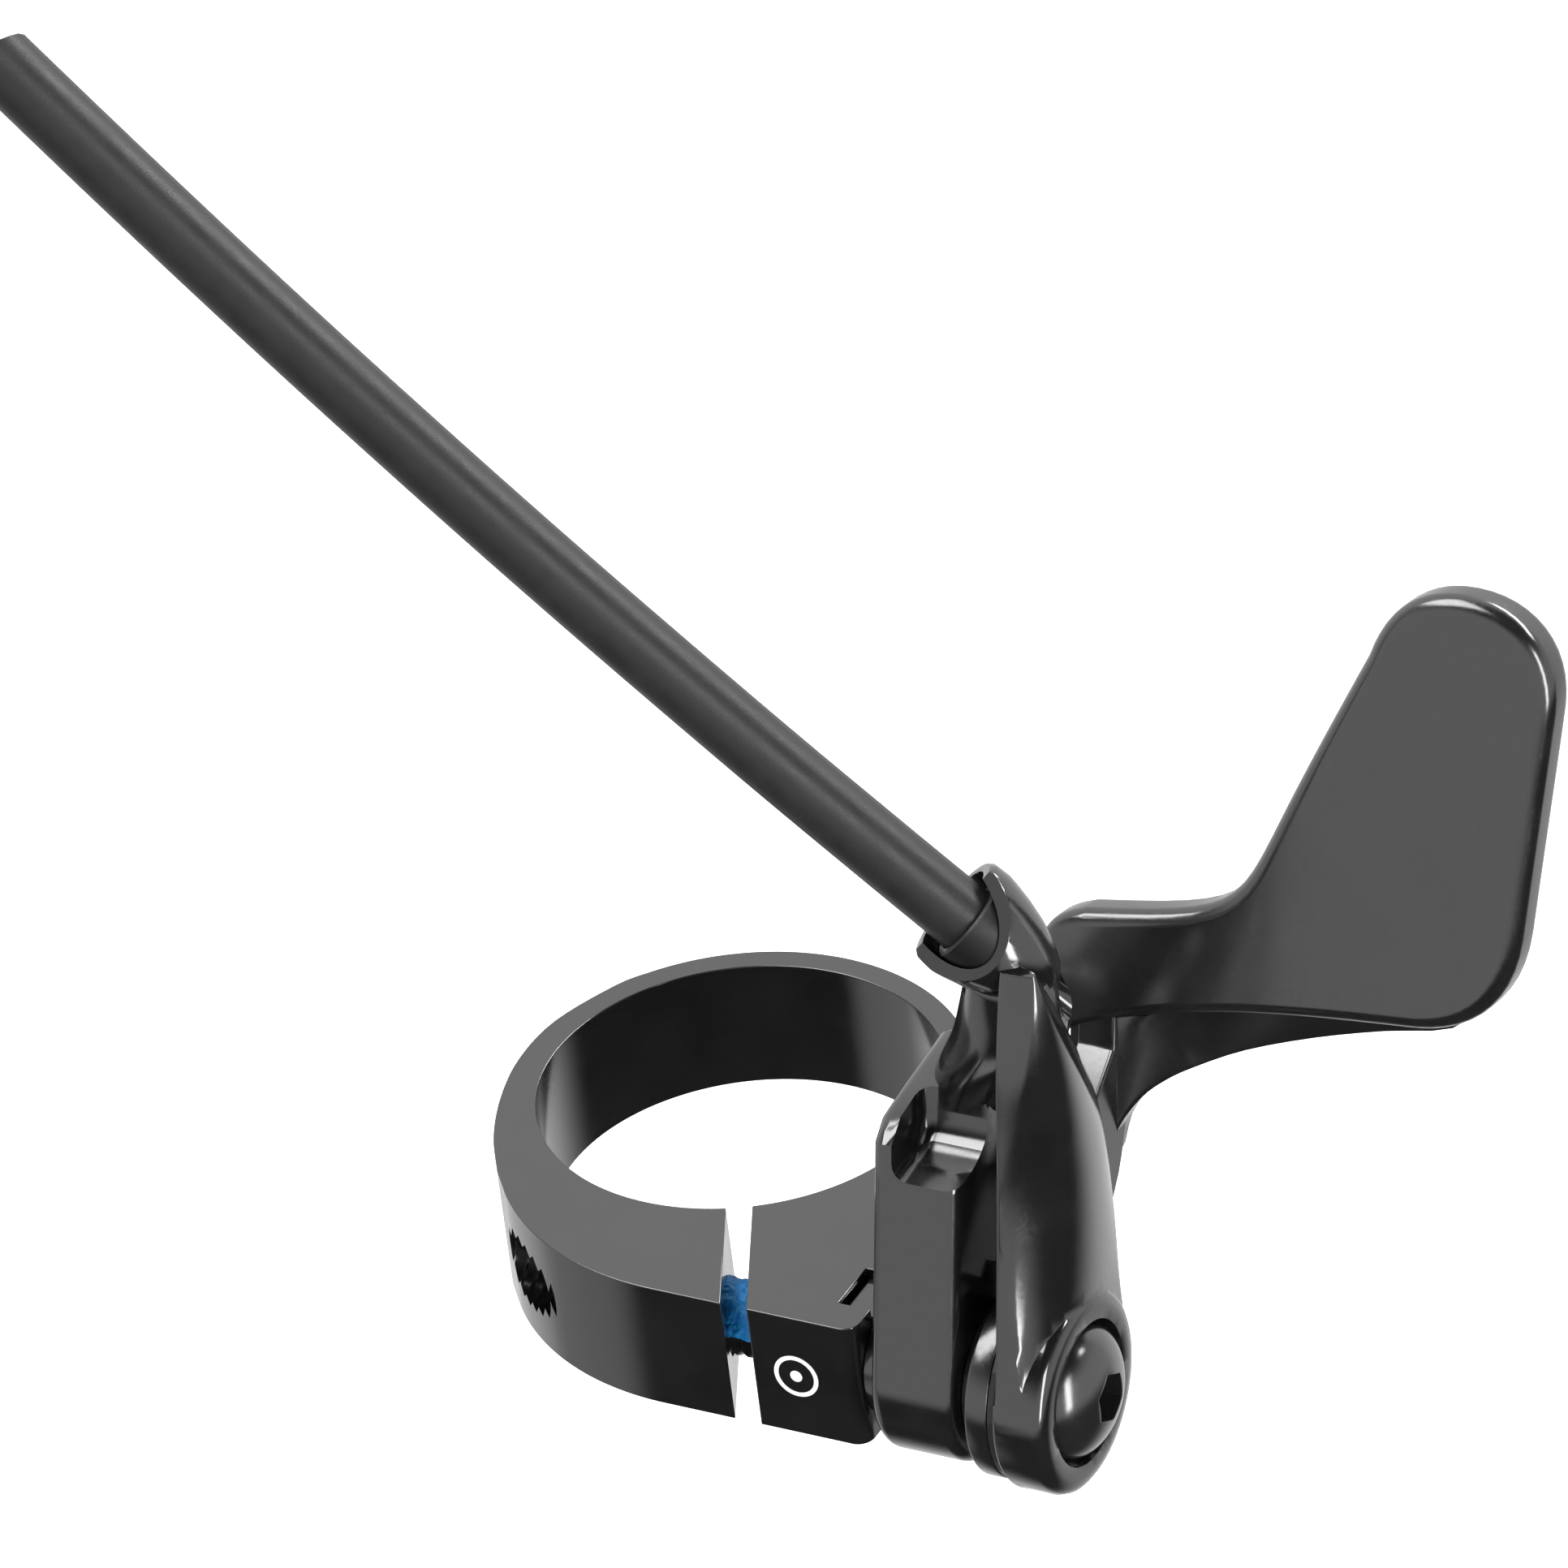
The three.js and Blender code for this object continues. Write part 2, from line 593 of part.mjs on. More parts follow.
const finish = (color, roughness, metalness) => new THREE.MeshStandardMaterial({ color, roughness, metalness });
const anodised = finish(0x17181a, 0.22, 0.6);
const blackSteel = finish(0x141416, 0.3, 0.8);
const bronze = finish(0x9a7b4a, 0.4, 0.9);
const slickPlastic = finish(0x1b1b1d, 0.5, 0);
const adhesive = finish(0x1787d6, 0.55, 0);
const jacket = finish(0x202022, 0.5, 0);

const shifter = new THREE.Group();

const clamp = new THREE.Group();
clamp.add(
  piece('clamp_band', clampBand(), anodised),
  piece('pivot_bolt', pivotBolt(), blackSteel),
  piece('thread_lock_patch', threadLockPatch(), adhesive),
);

const mounting = new THREE.Group();
mounting.add(
  piece('bracket', bracket(), anodised),
  piece('pivot_sleeve', tube(boltHole, sleeveRadius, baseEnd + FIT, cheekStart - FIT), bronze),
  piece('hub_spacer', tube(bushHole, SPACER_RADIUS, baseEnd + FIT, hubStart - FIT), slickPlastic),
  piece('thrust_washer', tube(bushHole, HUB_RADIUS, hubEnd + FIT, cheekStart - FIT, 36), slickPlastic),
);

const thumbLever = new THREE.Group();
thumbLever.add(
  piece('thumb_lever', lever(), anodised),
  piece('lever_bush', tube(bushHole, bushRadius, hubStart, hubEnd), bronze),
  piece('anchor_washer', anchorWasher(), blackSteel),
  piece('anchor_screw', anchorScrew(), blackSteel),
);

const cable = new THREE.Group();
cable.add(
  piece('housing_ferrule', ferrule(), slickPlastic),
  piece('cable_housing', housing(), jacket),
);

shifter.add(clamp, mounting, thumbLever, cable);

export default shifter;
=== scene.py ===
# A thumb shifter: a split clamp band, a forged bracket with a hood for the cable housing, and a
# thumb lever that swings on the clamp bolt. The CAD model is the fixed frame, in metres.

import math

import bpy
from mathutils import Matrix, Vector


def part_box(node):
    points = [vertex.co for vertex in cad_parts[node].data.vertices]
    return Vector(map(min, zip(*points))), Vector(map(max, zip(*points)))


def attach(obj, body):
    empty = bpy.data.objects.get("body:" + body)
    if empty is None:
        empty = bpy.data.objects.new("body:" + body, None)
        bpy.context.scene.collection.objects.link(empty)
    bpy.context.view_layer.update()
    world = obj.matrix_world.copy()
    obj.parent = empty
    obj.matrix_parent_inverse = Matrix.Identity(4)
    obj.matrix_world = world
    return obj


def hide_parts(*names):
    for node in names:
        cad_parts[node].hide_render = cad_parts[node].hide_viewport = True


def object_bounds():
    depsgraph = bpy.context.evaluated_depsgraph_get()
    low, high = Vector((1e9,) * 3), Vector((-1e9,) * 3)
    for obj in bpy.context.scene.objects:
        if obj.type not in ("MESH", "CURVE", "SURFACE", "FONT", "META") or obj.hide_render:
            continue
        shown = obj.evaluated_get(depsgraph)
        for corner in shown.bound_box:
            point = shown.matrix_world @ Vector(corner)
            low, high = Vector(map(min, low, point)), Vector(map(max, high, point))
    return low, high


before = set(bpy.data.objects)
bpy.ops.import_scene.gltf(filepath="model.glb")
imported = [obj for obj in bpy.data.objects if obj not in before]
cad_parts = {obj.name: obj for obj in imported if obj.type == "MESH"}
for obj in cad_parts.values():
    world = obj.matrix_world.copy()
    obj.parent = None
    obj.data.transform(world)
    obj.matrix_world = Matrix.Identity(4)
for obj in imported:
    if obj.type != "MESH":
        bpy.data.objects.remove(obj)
cad_low, cad_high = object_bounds()
MM = 0.001

# ---------- camera ----------
# A long lens well above the object, turned to one side of its front and rolled a little.

CAMERA_TURN = math.radians(31)
CAMERA_RISE = math.radians(34.06)
CAMERA_ROLL = math.radians(-7.31)
CAMERA_DISTANCE = 0.87034
CAMERA_RIGHT = 0.00434
CAMERA_UP = 0.01578
AIM_HEIGHT = 0.00377

right = Vector((math.cos(CAMERA_TURN), math.sin(CAMERA_TURN), 0))
level_forward = Vector((-math.sin(CAMERA_TURN), math.cos(CAMERA_TURN), 0))
forward = level_forward * math.cos(CAMERA_RISE) - Vector((0, 0, math.sin(CAMERA_RISE)))
upward = right.cross(forward)
camera_x = right * math.cos(CAMERA_ROLL) + upward * math.sin(CAMERA_ROLL)
camera_y = upward * math.cos(CAMERA_ROLL) - right * math.sin(CAMERA_ROLL)
camera_place = (
    Vector((0, 0, AIM_HEIGHT)) - forward * CAMERA_DISTANCE + right * CAMERA_RIGHT + upward * CAMERA_UP
)
bpy.ops.object.camera_add(location=camera_place)
camera = bpy.context.object
camera.matrix_world = Matrix.Translation(camera_place) @ Matrix(
    (camera_x, camera_y, -forward)
).transposed().to_4x4()
camera.data.sensor_width = 36
camera.data.lens = 372.67
camera.data.clip_start = 0.05
camera.data.clip_end = 20
bpy.context.scene.camera = camera

# ---------- stage and light ----------
# A white sweep under the object, a soft white surround behind it, and darker cards in front and
# below, which give the glossy black metal its contrast.

FLOOR_DROP = 0.09
FLOOR_SIZE = 6

bpy.ops.mesh.primitive_plane_add(size=FLOOR_SIZE, location=(0, 0, cad_low.z - FLOOR_DROP))
floor = bpy.context.object
floor.name = "studio_floor"
floor.visible_glossy = False
white_paper = bpy.data.materials.new("white_paper")
white_paper.use_nodes = True
paper_shader = white_paper.node_tree.nodes["Principled BSDF"]
paper_shader.inputs["Base Color"].default_value = (0.9, 0.9, 0.9, 1)
paper_shader.inputs["Roughness"].default_value = 0.9
paper_shader.inputs["Emission Color"].default_value = (1, 1, 1, 1)
paper_shader.inputs["Emission Strength"].default_value = 0.75
floor.data.materials.append(white_paper)

bpy.context.scene.view_settings.view_transform = "Standard"

world = bpy.data.worlds.new("soft_studio")
bpy.context.scene.world = world
world.use_nodes = True
sky_nodes = world.node_tree.nodes
sky_links = world.node_tree.links
background = sky_nodes["Background"]


def sky_math(operation, *values, clamp=False):
    """A Math node of the surround, fed by sockets or numbers."""
    node = sky_nodes.new("ShaderNodeMath")
    node.operation = operation
    node.use_clamp = clamp
    for socket, value in zip(node.inputs, values):
        if isinstance(value, bpy.types.NodeSocket):
            sky_links.new(value, socket)
        else:
            socket.default_value = value
    return node.outputs[0]


def sky_ramp(value, start, end):
    """From 0 at start to 1 at end, smoothly."""
    node = sky_nodes.new("ShaderNodeMapRange")
    node.interpolation_type = "SMOOTHSTEP"
    sky_links.new(value, node.inputs["Value"])
    node.inputs["From Min"].default_value = start
    node.inputs["From Max"].default_value = end
    return node.outputs[0]


sky_place = sky_nodes.new("ShaderNodeTexCoord")
behind = sky_nodes.new("ShaderNodeVectorMath")
behind.operation = "DOT_PRODUCT"
sky_links.new(sky_place.outputs["Generated"], behind.inputs[0])
behind.inputs[1].default_value = level_forward
height = sky_nodes.new("ShaderNodeSeparateXYZ")
sky_links.new(sky_place.outputs["Generated"], height.inputs[0])
back_light = sky_ramp(behind.outputs["Value"], 0.05, 0.6)
front_band = sky_math(
    "MULTIPLY",
    sky_ramp(height.outputs["Z"], -0.42, -0.2),
    sky_ramp(height.outputs["Z"], 0.75, 0.2),
)
front_light = sky_math("MULTIPLY", front_band, 0.75)
surround = sky_math("MAXIMUM", back_light, front_light)
left_card = sky_nodes.new("ShaderNodeVectorMath")
left_card.operation = "DOT_PRODUCT"
sky_links.new(sky_place.outputs["Generated"], left_card.inputs[0])
left_card.inputs[1].default_value = Vector((-0.755, -0.33, -0.56)).normalized()
left_light = sky_math("MULTIPLY", sky_ramp(left_card.outputs["Value"], 0.9, 0.985), 0.55)
surround = sky_math("MAXIMUM", surround, left_light)
surround = sky_math("MAXIMUM", surround, 0.012)
sky_rays = sky_nodes.new("ShaderNodeLightPath")
seen = sky_math("MAXIMUM", surround, sky_rays.outputs["Is Camera Ray"])
background.inputs["Color"].default_value = (1, 1, 1, 1)
sky_links.new(seen, background.inputs["Strength"])

SOFTBOXES = (
    # name, azimuth and rise of the way it comes from, distance, width, height, power
    ("key_softbox", -60, 62, 0.5, 0.32, 0.32, 2.2),
    ("rear_strip", 150, 42, 0.55, 0.5, 0.08, 2.4),
    ("right_strip", 62, 12, 0.5, 0.12, 0.4, 1.3),
)
for name, azimuth, rise, distance, width, tall, power in SOFTBOXES:
    turn, lift = math.radians(azimuth), math.radians(rise)
    way = Vector((math.sin(turn) * math.cos(lift), -math.cos(turn) * math.cos(lift), math.sin(lift)))
    bpy.ops.object.light_add(type="AREA", location=way * distance)
    lamp = bpy.context.object
    lamp.name = name
    lamp.data.shape = "RECTANGLE"
    lamp.data.size = width
    lamp.data.size_y = tall
    lamp.data.energy = power
    lamp.rotation_mode = "QUATERNION"
    lamp.rotation_quaternion = way.to_track_quat("Z", "Y")

# ---------- surface variation ----------
# Every finish on the object is one shader group with its own values: slow patches of colour and
# gloss, fine grain in the height, and a little dust-like speckle in the gloss.


def build_variation_group():
    group = bpy.data.node_groups.new("surface_variation", "ShaderNodeTree")
    inputs = (
        ("Dark", "NodeSocketColor"),
        ("Light", "NodeSocketColor"),
        ("Patch Scale", "NodeSocketFloat"),
        ("Grain Scale", "NodeSocketFloat"),
        ("Gloss Low", "NodeSocketFloat"),
        ("Gloss High", "NodeSocketFloat"),
    )
    for label, kind in inputs:
        group.interface.new_socket(label, in_out="INPUT", socket_type=kind)
    group.interface.new_socket("Color", in_out="OUTPUT", socket_type="NodeSocketColor")
    group.interface.new_socket("Roughness", in_out="OUTPUT", socket_type="NodeSocketFloat")
    group.interface.new_socket("Height", in_out="OUTPUT", socket_type="NodeSocketFloat")
    nodes, links = group.nodes, group.links
    given = nodes.new("NodeGroupInput")
    made = nodes.new("NodeGroupOutput")
    place = nodes.new("ShaderNodeTexCoord")

    patches = nodes.new("ShaderNodeTexNoise")
    patches.inputs["Detail"].default_value = 4
    links.new(place.outputs["Object"], patches.inputs["Vector"])
    links.new(given.outputs["Patch Scale"], patches.inputs["Scale"])
    grain = nodes.new("ShaderNodeTexNoise")
    grain.inputs["Detail"].default_value = 3
    grain.inputs["Roughness"].default_value = 0.6
    links.new(place.outputs["Object"], grain.inputs["Vector"])
    links.new(given.outputs["Grain Scale"], grain.inputs["Scale"])

    blend = nodes.new("ShaderNodeMix")
    blend.data_type = "RGBA"
    links.new(patches.outputs["Fac"], blend.inputs["Factor"])
    links.new(given.outputs["Dark"], blend.inputs["A"])
    links.new(given.outputs["Light"], blend.inputs["B"])
    links.new(blend.outputs["Result"], made.inputs["Color"])

    speckle = nodes.new("ShaderNodeMath")
    speckle.operation = "MULTIPLY"
    links.new(patches.outputs["Fac"], speckle.inputs[0])
    links.new(grain.outputs["Fac"], speckle.inputs[1])
    gloss = nodes.new("ShaderNodeMapRange")
    gloss.inputs["From Min"].default_value = 0.12
    gloss.inputs["From Max"].default_value = 0.42
    links.new(speckle.outputs[0], gloss.inputs["Value"])
    links.new(given.outputs["Gloss Low"], gloss.inputs["To Min"])
    links.new(given.outputs["Gloss High"], gloss.inputs["To Max"])
    links.new(gloss.outputs["Result"], made.inputs["Roughness"])
    links.new(grain.outputs["Fac"], made.inputs["Height"])
    return group


variation = build_variation_group()


def make_finish(name, dark, light, patch, grain, gloss, bump, bump_depth, ior=1.5, metallic=0.0):
    """A material whose colour, gloss and fine grain come from the variation group."""
    material = bpy.data.materials.new(name)
    material.use_nodes = True
    nodes, links = material.node_tree.nodes, material.node_tree.links
    shader = nodes["Principled BSDF"]
    surface = nodes.new("ShaderNodeGroup")
    surface.node_tree = variation
    surface.inputs["Dark"].default_value = (*dark, 1)
    surface.inputs["Light"].default_value = (*light, 1)
    surface.inputs["Patch Scale"].default_value = patch
    surface.inputs["Grain Scale"].default_value = grain
    surface.inputs["Gloss Low"].default_value = gloss[0]
    surface.inputs["Gloss High"].default_value = gloss[1]
    relief = nodes.new("ShaderNodeBump")
    relief.inputs["Strength"].default_value = bump
    relief.inputs["Distance"].default_value = bump_depth
    links.new(surface.outputs["Height"], relief.inputs["Height"])
    links.new(surface.outputs["Color"], shader.inputs["Base Color"])
    links.new(surface.outputs["Roughness"], shader.inputs["Roughness"])
    links.new(relief.outputs["Normal"], shader.inputs["Normal"])
    shader.inputs["IOR"].default_value = ior
    shader.inputs["Metallic"].default_value = metallic
    return material


# ---------- cable housing ----------
# A brake-style housing for the shift cable: a satin black jacket over a ring of steel strands
# and a white liner, pressed as steps into the slanted end in the jacket's one finish. It is stiff,
# runs straight out of the hood, bows slowly, and is cut on the slant.

HOUSING_DIAMETER = 3.7 * MM
HOUSING_ROUTE = [
    (23.13, -11.13, 25.86),
    (21.39, -11.47, 27.56),
    (19.65, -11.81, 29.26),
    (17.2, -12.28, 31.7),
    (13.75, -12.92, 35.1),
    (10.3, -13.54, 38.57),
    (6.85, -14.14, 42.07),
    (3.45, -14.72, 45.54),
    (0.05, -15.28, 49.05),
    (-3.3, -15.82, 52.56),
    (-6.65, -16.34, 56.1),
    (-10, -16.84, 59.66),
    (-13.35, -17.31, 63.26),
    (-16.65, -17.76, 66.85),
    (-19.5, -18.14, 69.98),
    (-22.3, -18.51, 73.08),
    (-25.1, -18.85, 76.2),
]
housing_path = [Vector(point) * MM for point in HOUSING_ROUTE]
LINER_WALL = 0.3 * MM
JACKET_WALL = 0.55 * MM
CUT_SLANT = math.radians(30)


def deselect():
    bpy.ops.object.select_all(action="DESELECT")


def only(piece):
    """Selects one piece and makes it the active one."""
    deselect()
    piece.select_set(True)
    bpy.context.view_layer.objects.active = piece


def apply_modifiers(piece):
    only(piece)
    for modifier in list(piece.modifiers):
        bpy.ops.object.modifier_apply(modifier=modifier.name)


def swept_tube(name, path, radius, sides):
    """A closed round tube along a path, as a mesh."""
    deselect()
    bpy.ops.curve.primitive_nurbs_path_add()
    tube = bpy.context.object
    tube.name = name
    tube.matrix_world = Matrix.Identity(4)
    spline = tube.data.splines[0]
    while len(spline.points) < len(path):
        spline.points.add(1)
    for point, place in zip(spline.points, path):
        point.co = (*place, 1)
    spline.order_u = 4
    spline.use_endpoint_u = True
    tube.data.resolution_u = 4
    tube.data.bevel_depth = radius
    tube.data.bevel_resolution = sides // 4 - 1
    tube.data.use_fill_caps = True
    bpy.ops.object.convert(target="MESH")
    only(tube)
    bpy.ops.object.mode_set(mode="EDIT")
    bpy.ops.mesh.select_all(action="SELECT")
    bpy.ops.mesh.remove_doubles(threshold=0.01 * MM)
    bpy.ops.mesh.normals_make_consistent(inside=False)
    bpy.ops.object.mode_set(mode="OBJECT")
    return tube


def slanted_cut(tube):
    """Cuts the far end of the housing on the slant and closes it with a flat face."""
    end = housing_path[-1]
    run = (housing_path[-1] - housing_path[-2]).normalized()
    away = (-forward - run * (-forward).dot(run)).normalized()
    facing = run * math.cos(CUT_SLANT) - away * math.sin(CUT_SLANT)
    only(tube)
    bpy.ops.object.mode_set(mode="EDIT")
    bpy.ops.mesh.select_all(action="SELECT")
    bpy.ops.mesh.bisect(
        plane_co=end - run * HOUSING_DIAMETER / 2 * math.tan(CUT_SLANT),
        plane_no=facing,
        use_fill=True,
        clear_outer=True,
    )
    bpy.ops.object.mode_set(mode="OBJECT")


housing = swept_tube("housing_jacket", housing_path, HOUSING_DIAMETER / 2, 32)
slanted_cut(housing)


def end_layers(tube):
    """Presses the jacket's rim, the strand ring and the liner's bore into the slanted end."""
    end = housing_path[-1]
    run = (housing_path[-1] - housing_path[-2]).normalized()
    only(tube)
    bpy.ops.object.mode_set(mode="EDIT")
    bpy.ops.mesh.select_mode(type="FACE")
    bpy.ops.mesh.select_all(action="DESELECT")
    bpy.ops.object.mode_set(mode="OBJECT")
    caps = [face for face in tube.data.polygons if len(face.vertices) > 8]
    min(caps, key=lambda face: (face.center - end).length).select = True
    bpy.ops.object.mode_set(mode="EDIT")
    for width, depth in ((0.08, 0.05), (JACKET_WALL / MM, -0.3), (0.5, 0.45), (LINER_WALL / MM, -2.2)):
        bpy.ops.mesh.inset(thickness=width * MM, use_even_offset=True)
        bpy.ops.mesh.extrude_region_move(TRANSFORM_OT_translate={"value": run * depth * MM})
    bpy.ops.object.mode_set(mode="OBJECT")


end_layers(housing)
only(housing)
bpy.ops.object.shade_smooth_by_angle(angle=math.radians(40))
housing_finish = make_finish(
    "satin_jacket", (0.012, 0.012, 0.0125), (0.02, 0.02, 0.021), 700, 9000, (0.36, 0.5), 0.35, 0.02 * MM
)
housing.data.materials.append(housing_finish)
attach(housing, "mounting")
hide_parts("cable_housing")

# ---------- clamp band ----------
# The band is cut from one aluminium extrusion: thin round the back of the bar, thick in front,
# split beside a square block. The bolt crosses the split and bites in the tapped left arm.

BORE_RADIUS = 11.1 * MM
BAND_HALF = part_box("clamp_band")[1].z
BAND_BACK = BORE_RADIUS + 1.4 * MM
LUG_RADIUS = 15.1 * MM
LUG_RIGHT = 3.7 * MM
BLOCK_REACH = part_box("clamp_band")[1].x
FRONT_REACH = -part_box("clamp_band")[0].y
BLOCK_CORNER = 0.9 * MM
GAP_WIDTH = 1.4 * MM
GAP_ANGLE = math.radians(65)
KEY_WIDTH = 3.2 * MM
KEY_DEPTH = 1.9 * MM
BOLT_Y = -14.3 * MM
BOLT_RADIUS = 2 * MM
BOLT_HOLE = 2.1 * MM
THREAD_PITCH = 0.7 * MM
BAND_EDGE = 0.22 * MM


def polar(radius, degrees):
    angle = math.radians(degrees)
    return Vector((radius * math.cos(angle), radius * math.sin(angle)))


def arc(centre, radius, start, end, steps):
    """Points from one angle to another, in degrees, both ends included."""
    return [Vector(centre) + polar(radius, start + (end - start) * i / steps) for i in range(steps + 1)]


def bezier(start, first, second, end, steps):
    """Points of one cubic curve, without its start."""
    points = []
    for i in range(1, steps + 1):
        t = i / steps
        u = 1 - t
        pulled = Vector(first) * 3 * u * u * t + Vector(second) * 3 * u * t * t
        points.append(Vector(start) * u**3 + pulled + Vector(end) * t**3)
    return points


def smooth_through(points, steps):
    """A smooth line through a few points, ends included."""
    line = [points[0]]
    for i in range(len(points) - 1):
        before = points[max(i - 1, 0)]
        after = points[min(i + 2, len(points) - 1)]
        start, end = points[i], points[i + 1]
        line += bezier(start, start + (end - before) / 6, end - (after - start) / 6, end, steps)
    return line


def plate(name, outline, low, high, turn=Matrix.Identity(4)):
    """A flat plate drawn in X and Y, thick from low to high along Z, then turned into its place."""
    deselect()
    bpy.ops.mesh.primitive_circle_add(vertices=len(outline), radius=1, fill_type="NGON")
    piece = bpy.context.object
    piece.name = name
    for vertex, (x, y) in zip(piece.data.vertices, outline):
        vertex.co = (x, y, low)
    bpy.ops.object.mode_set(mode="EDIT")
    bpy.ops.mesh.select_all(action="SELECT")
    bpy.ops.mesh.extrude_region_move(TRANSFORM_OT_translate={"value": (0, 0, high - low)})
    bpy.ops.mesh.select_all(action="SELECT")
    bpy.ops.mesh.normals_make_consistent(inside=False)
    bpy.ops.object.mode_set(mode="OBJECT")
    piece.data.transform(turn)
    return piece


def rod(name, radius, start, end, sides=64):
    """A plain round rod between two points."""
    deselect()
    start, end = Vector(start), Vector(end)
    bpy.ops.mesh.primitive_cylinder_add(vertices=sides, radius=radius, depth=(end - start).length)
    piece = bpy.context.object
    piece.name = name
    turn = (end - start).to_track_quat("Z", "Y").to_matrix().to_4x4()
    piece.data.transform(Matrix.Translation((start + end) / 2) @ turn)
    return piece


def block(name, low, high):
    deselect()
    bpy.ops.mesh.primitive_cube_add(size=1)
    piece = bpy.context.object
    piece.name = name
    low, high = Vector(low), Vector(high)
    piece.data.transform(Matrix.Translation((low + high) / 2) @ Matrix.Diagonal((*(high - low), 1)))
    return piece


def join_or_cut(piece, tool, operation="DIFFERENCE"):
    """Cuts a piece with another, or joins the two, and removes the tool."""
    modifier = piece.modifiers.new("shape", "BOOLEAN")
    modifier.operation = operation
    modifier.solver = "MANIFOLD"
    modifier.object = tool
    apply_modifiers(piece)
    piece.data.materials.clear()
    bpy.data.objects.remove(tool)


def bevel_edges(piece, width, segments, angle=30, clamp=True):
    modifier = piece.modifiers.new("edge", "BEVEL")
    modifier.use_clamp_overlap = clamp
    modifier.width = width
    modifier.segments = segments
    modifier.limit_method = "ANGLE"
    modifier.angle_limit = math.radians(angle)
    modifier.harden_normals = False
    modifier.miter_outer = "MITER_ARC"
    apply_modifiers(piece)


def smooth_faces(piece, angle=35, weighted=True):
    only(piece)
    bpy.ops.object.shade_smooth_by_angle(angle=math.radians(angle))
    if weighted:
        modifier = piece.modifiers.new("flats", "WEIGHTED_NORMAL")
        modifier.keep_sharp = True
        apply_modifiers(piece)


def screw_thread(name, root, crest, pitch, start, end):
    """A rod with a V thread, along +X on the bolt's axis, with closed ends."""
    deselect()
    bpy.ops.mesh.primitive_circle_add(vertices=3, radius=1, fill_type="NOTHING")
    piece = bpy.context.object
    piece.name = name
    profile = ((root, 0), (crest, pitch * 0.5), (root, pitch))
    for vertex, (radius, distance) in zip(piece.data.vertices, profile):
        vertex.co = (radius, 0, distance)
    only(piece)
    bpy.ops.object.mode_set(mode="EDIT")
    bpy.ops.mesh.select_mode(type="EDGE")
    bpy.ops.mesh.select_all(action="DESELECT")
    bpy.ops.object.mode_set(mode="OBJECT")
    for edge in piece.data.edges:
        edge.select = set(edge.vertices) == {0, 2}
    bpy.ops.object.mode_set(mode="EDIT")
    bpy.ops.mesh.delete(type="EDGE")
    bpy.ops.object.mode_set(mode="OBJECT")
    turns = round((end - start) / pitch)
    modifier = piece.modifiers.new("thread", "SCREW")
    modifier.axis = "Z"
    modifier.screw_offset = pitch
    modifier.iterations = turns
    modifier.steps = 24
    modifier.render_steps = 24
    modifier.use_merge_vertices = True
    modifier.merge_threshold = 0.002 * MM
    apply_modifiers(piece)
    only(piece)
    bpy.ops.object.mode_set(mode="EDIT")
    bpy.ops.mesh.select_all(action="SELECT")
    bpy.ops.mesh.remove_doubles(threshold=0.002 * MM)
    bpy.ops.mesh.select_all(action="SELECT")
    for level, facing in ((pitch, (0, 0, -1)), (turns * pitch, (0, 0, 1))):
        bpy.ops.mesh.select_all(action="SELECT")
        bpy.ops.mesh.bisect(plane_co=(0, 0, level), plane_no=facing, use_fill=True, clear_outer=True)
    bpy.ops.mesh.select_all(action="SELECT")
    bpy.ops.mesh.normals_make_consistent(inside=False)
    bpy.ops.object.mode_set(mode="OBJECT")
    into_x = Matrix(((0, 0, 1, start), (0, 1, 0, BOLT_Y), (-1, 0, 0, 0), (0, 0, 0, 1)))
    piece.data.transform(into_x)
    return piece


def band_outline():
    lug_centre = (LUG_RIGHT, LUG_RADIUS - FRONT_REACH)
    thickening = [
        polar(BAND_BACK, 140),
        polar(BAND_BACK + 0.05 * MM, 150),
        polar(BAND_BACK + 0.2 * MM, 170),
        polar(BAND_BACK + 0.33 * MM, 187),
        polar(BAND_BACK + 0.55 * MM, 203),
        polar(BAND_BACK + 1.1 * MM, 218),
        polar(BAND_BACK + 1.85 * MM, 231),
    ]
    points = arc((0, 0), BAND_BACK, 2, 138, 68)
    points += smooth_through(thickening, 5)
    points += arc(lug_centre, LUG_RADIUS, 221.4, 270, 26)
    corner = (BLOCK_REACH - BLOCK_CORNER, BLOCK_CORNER - FRONT_REACH)
    points += arc(corner, BLOCK_CORNER, -90, 0, 8)
    points.append(Vector((BLOCK_REACH, BOLT_Y + 5.4 * MM)))
    return points


band = plate("clamp_body", band_outline(), -BAND_HALF, BAND_HALF)
join_or_cut(band, rod("bore", BORE_RADIUS, (0, 0, -1.5 * BAND_HALF), (0, 0, 1.5 * BAND_HALF), 128))
gap = block(
    "gap",
    (BORE_RADIUS - MM, -0.3 * GAP_WIDTH, -2 * BAND_HALF),
    (2 * FRONT_REACH, 0.7 * GAP_WIDTH, 2 * BAND_HALF),
)
gap.data.transform(Matrix.Rotation(-GAP_ANGLE, 4, "Z"))
join_or_cut(band, gap)
join_or_cut(
    band,
    block(
        "keyway",
        (BLOCK_REACH - KEY_DEPTH, BOLT_Y - KEY_WIDTH / 2, -2 * BAND_HALF),
        (BLOCK_REACH + MM, BOLT_Y + KEY_WIDTH / 2, 2 * BAND_HALF),
    ),
)
bevel_edges(band, BAND_EDGE, 3)
join_or_cut(band, rod("clearance", BOLT_HOLE, (6.5 * MM, BOLT_Y, 0), (BLOCK_REACH + MM, BOLT_Y, 0), 48))
tap_root = BOLT_RADIUS - 0.25 * MM
tap_crest = BOLT_RADIUS + 0.2 * MM
join_or_cut(band, screw_thread("tap", tap_root, tap_crest, THREAD_PITCH, -12 * MM, 8 * MM))
smooth_faces(band)
BLACK_DARK = (0.006, 0.006, 0.0063)
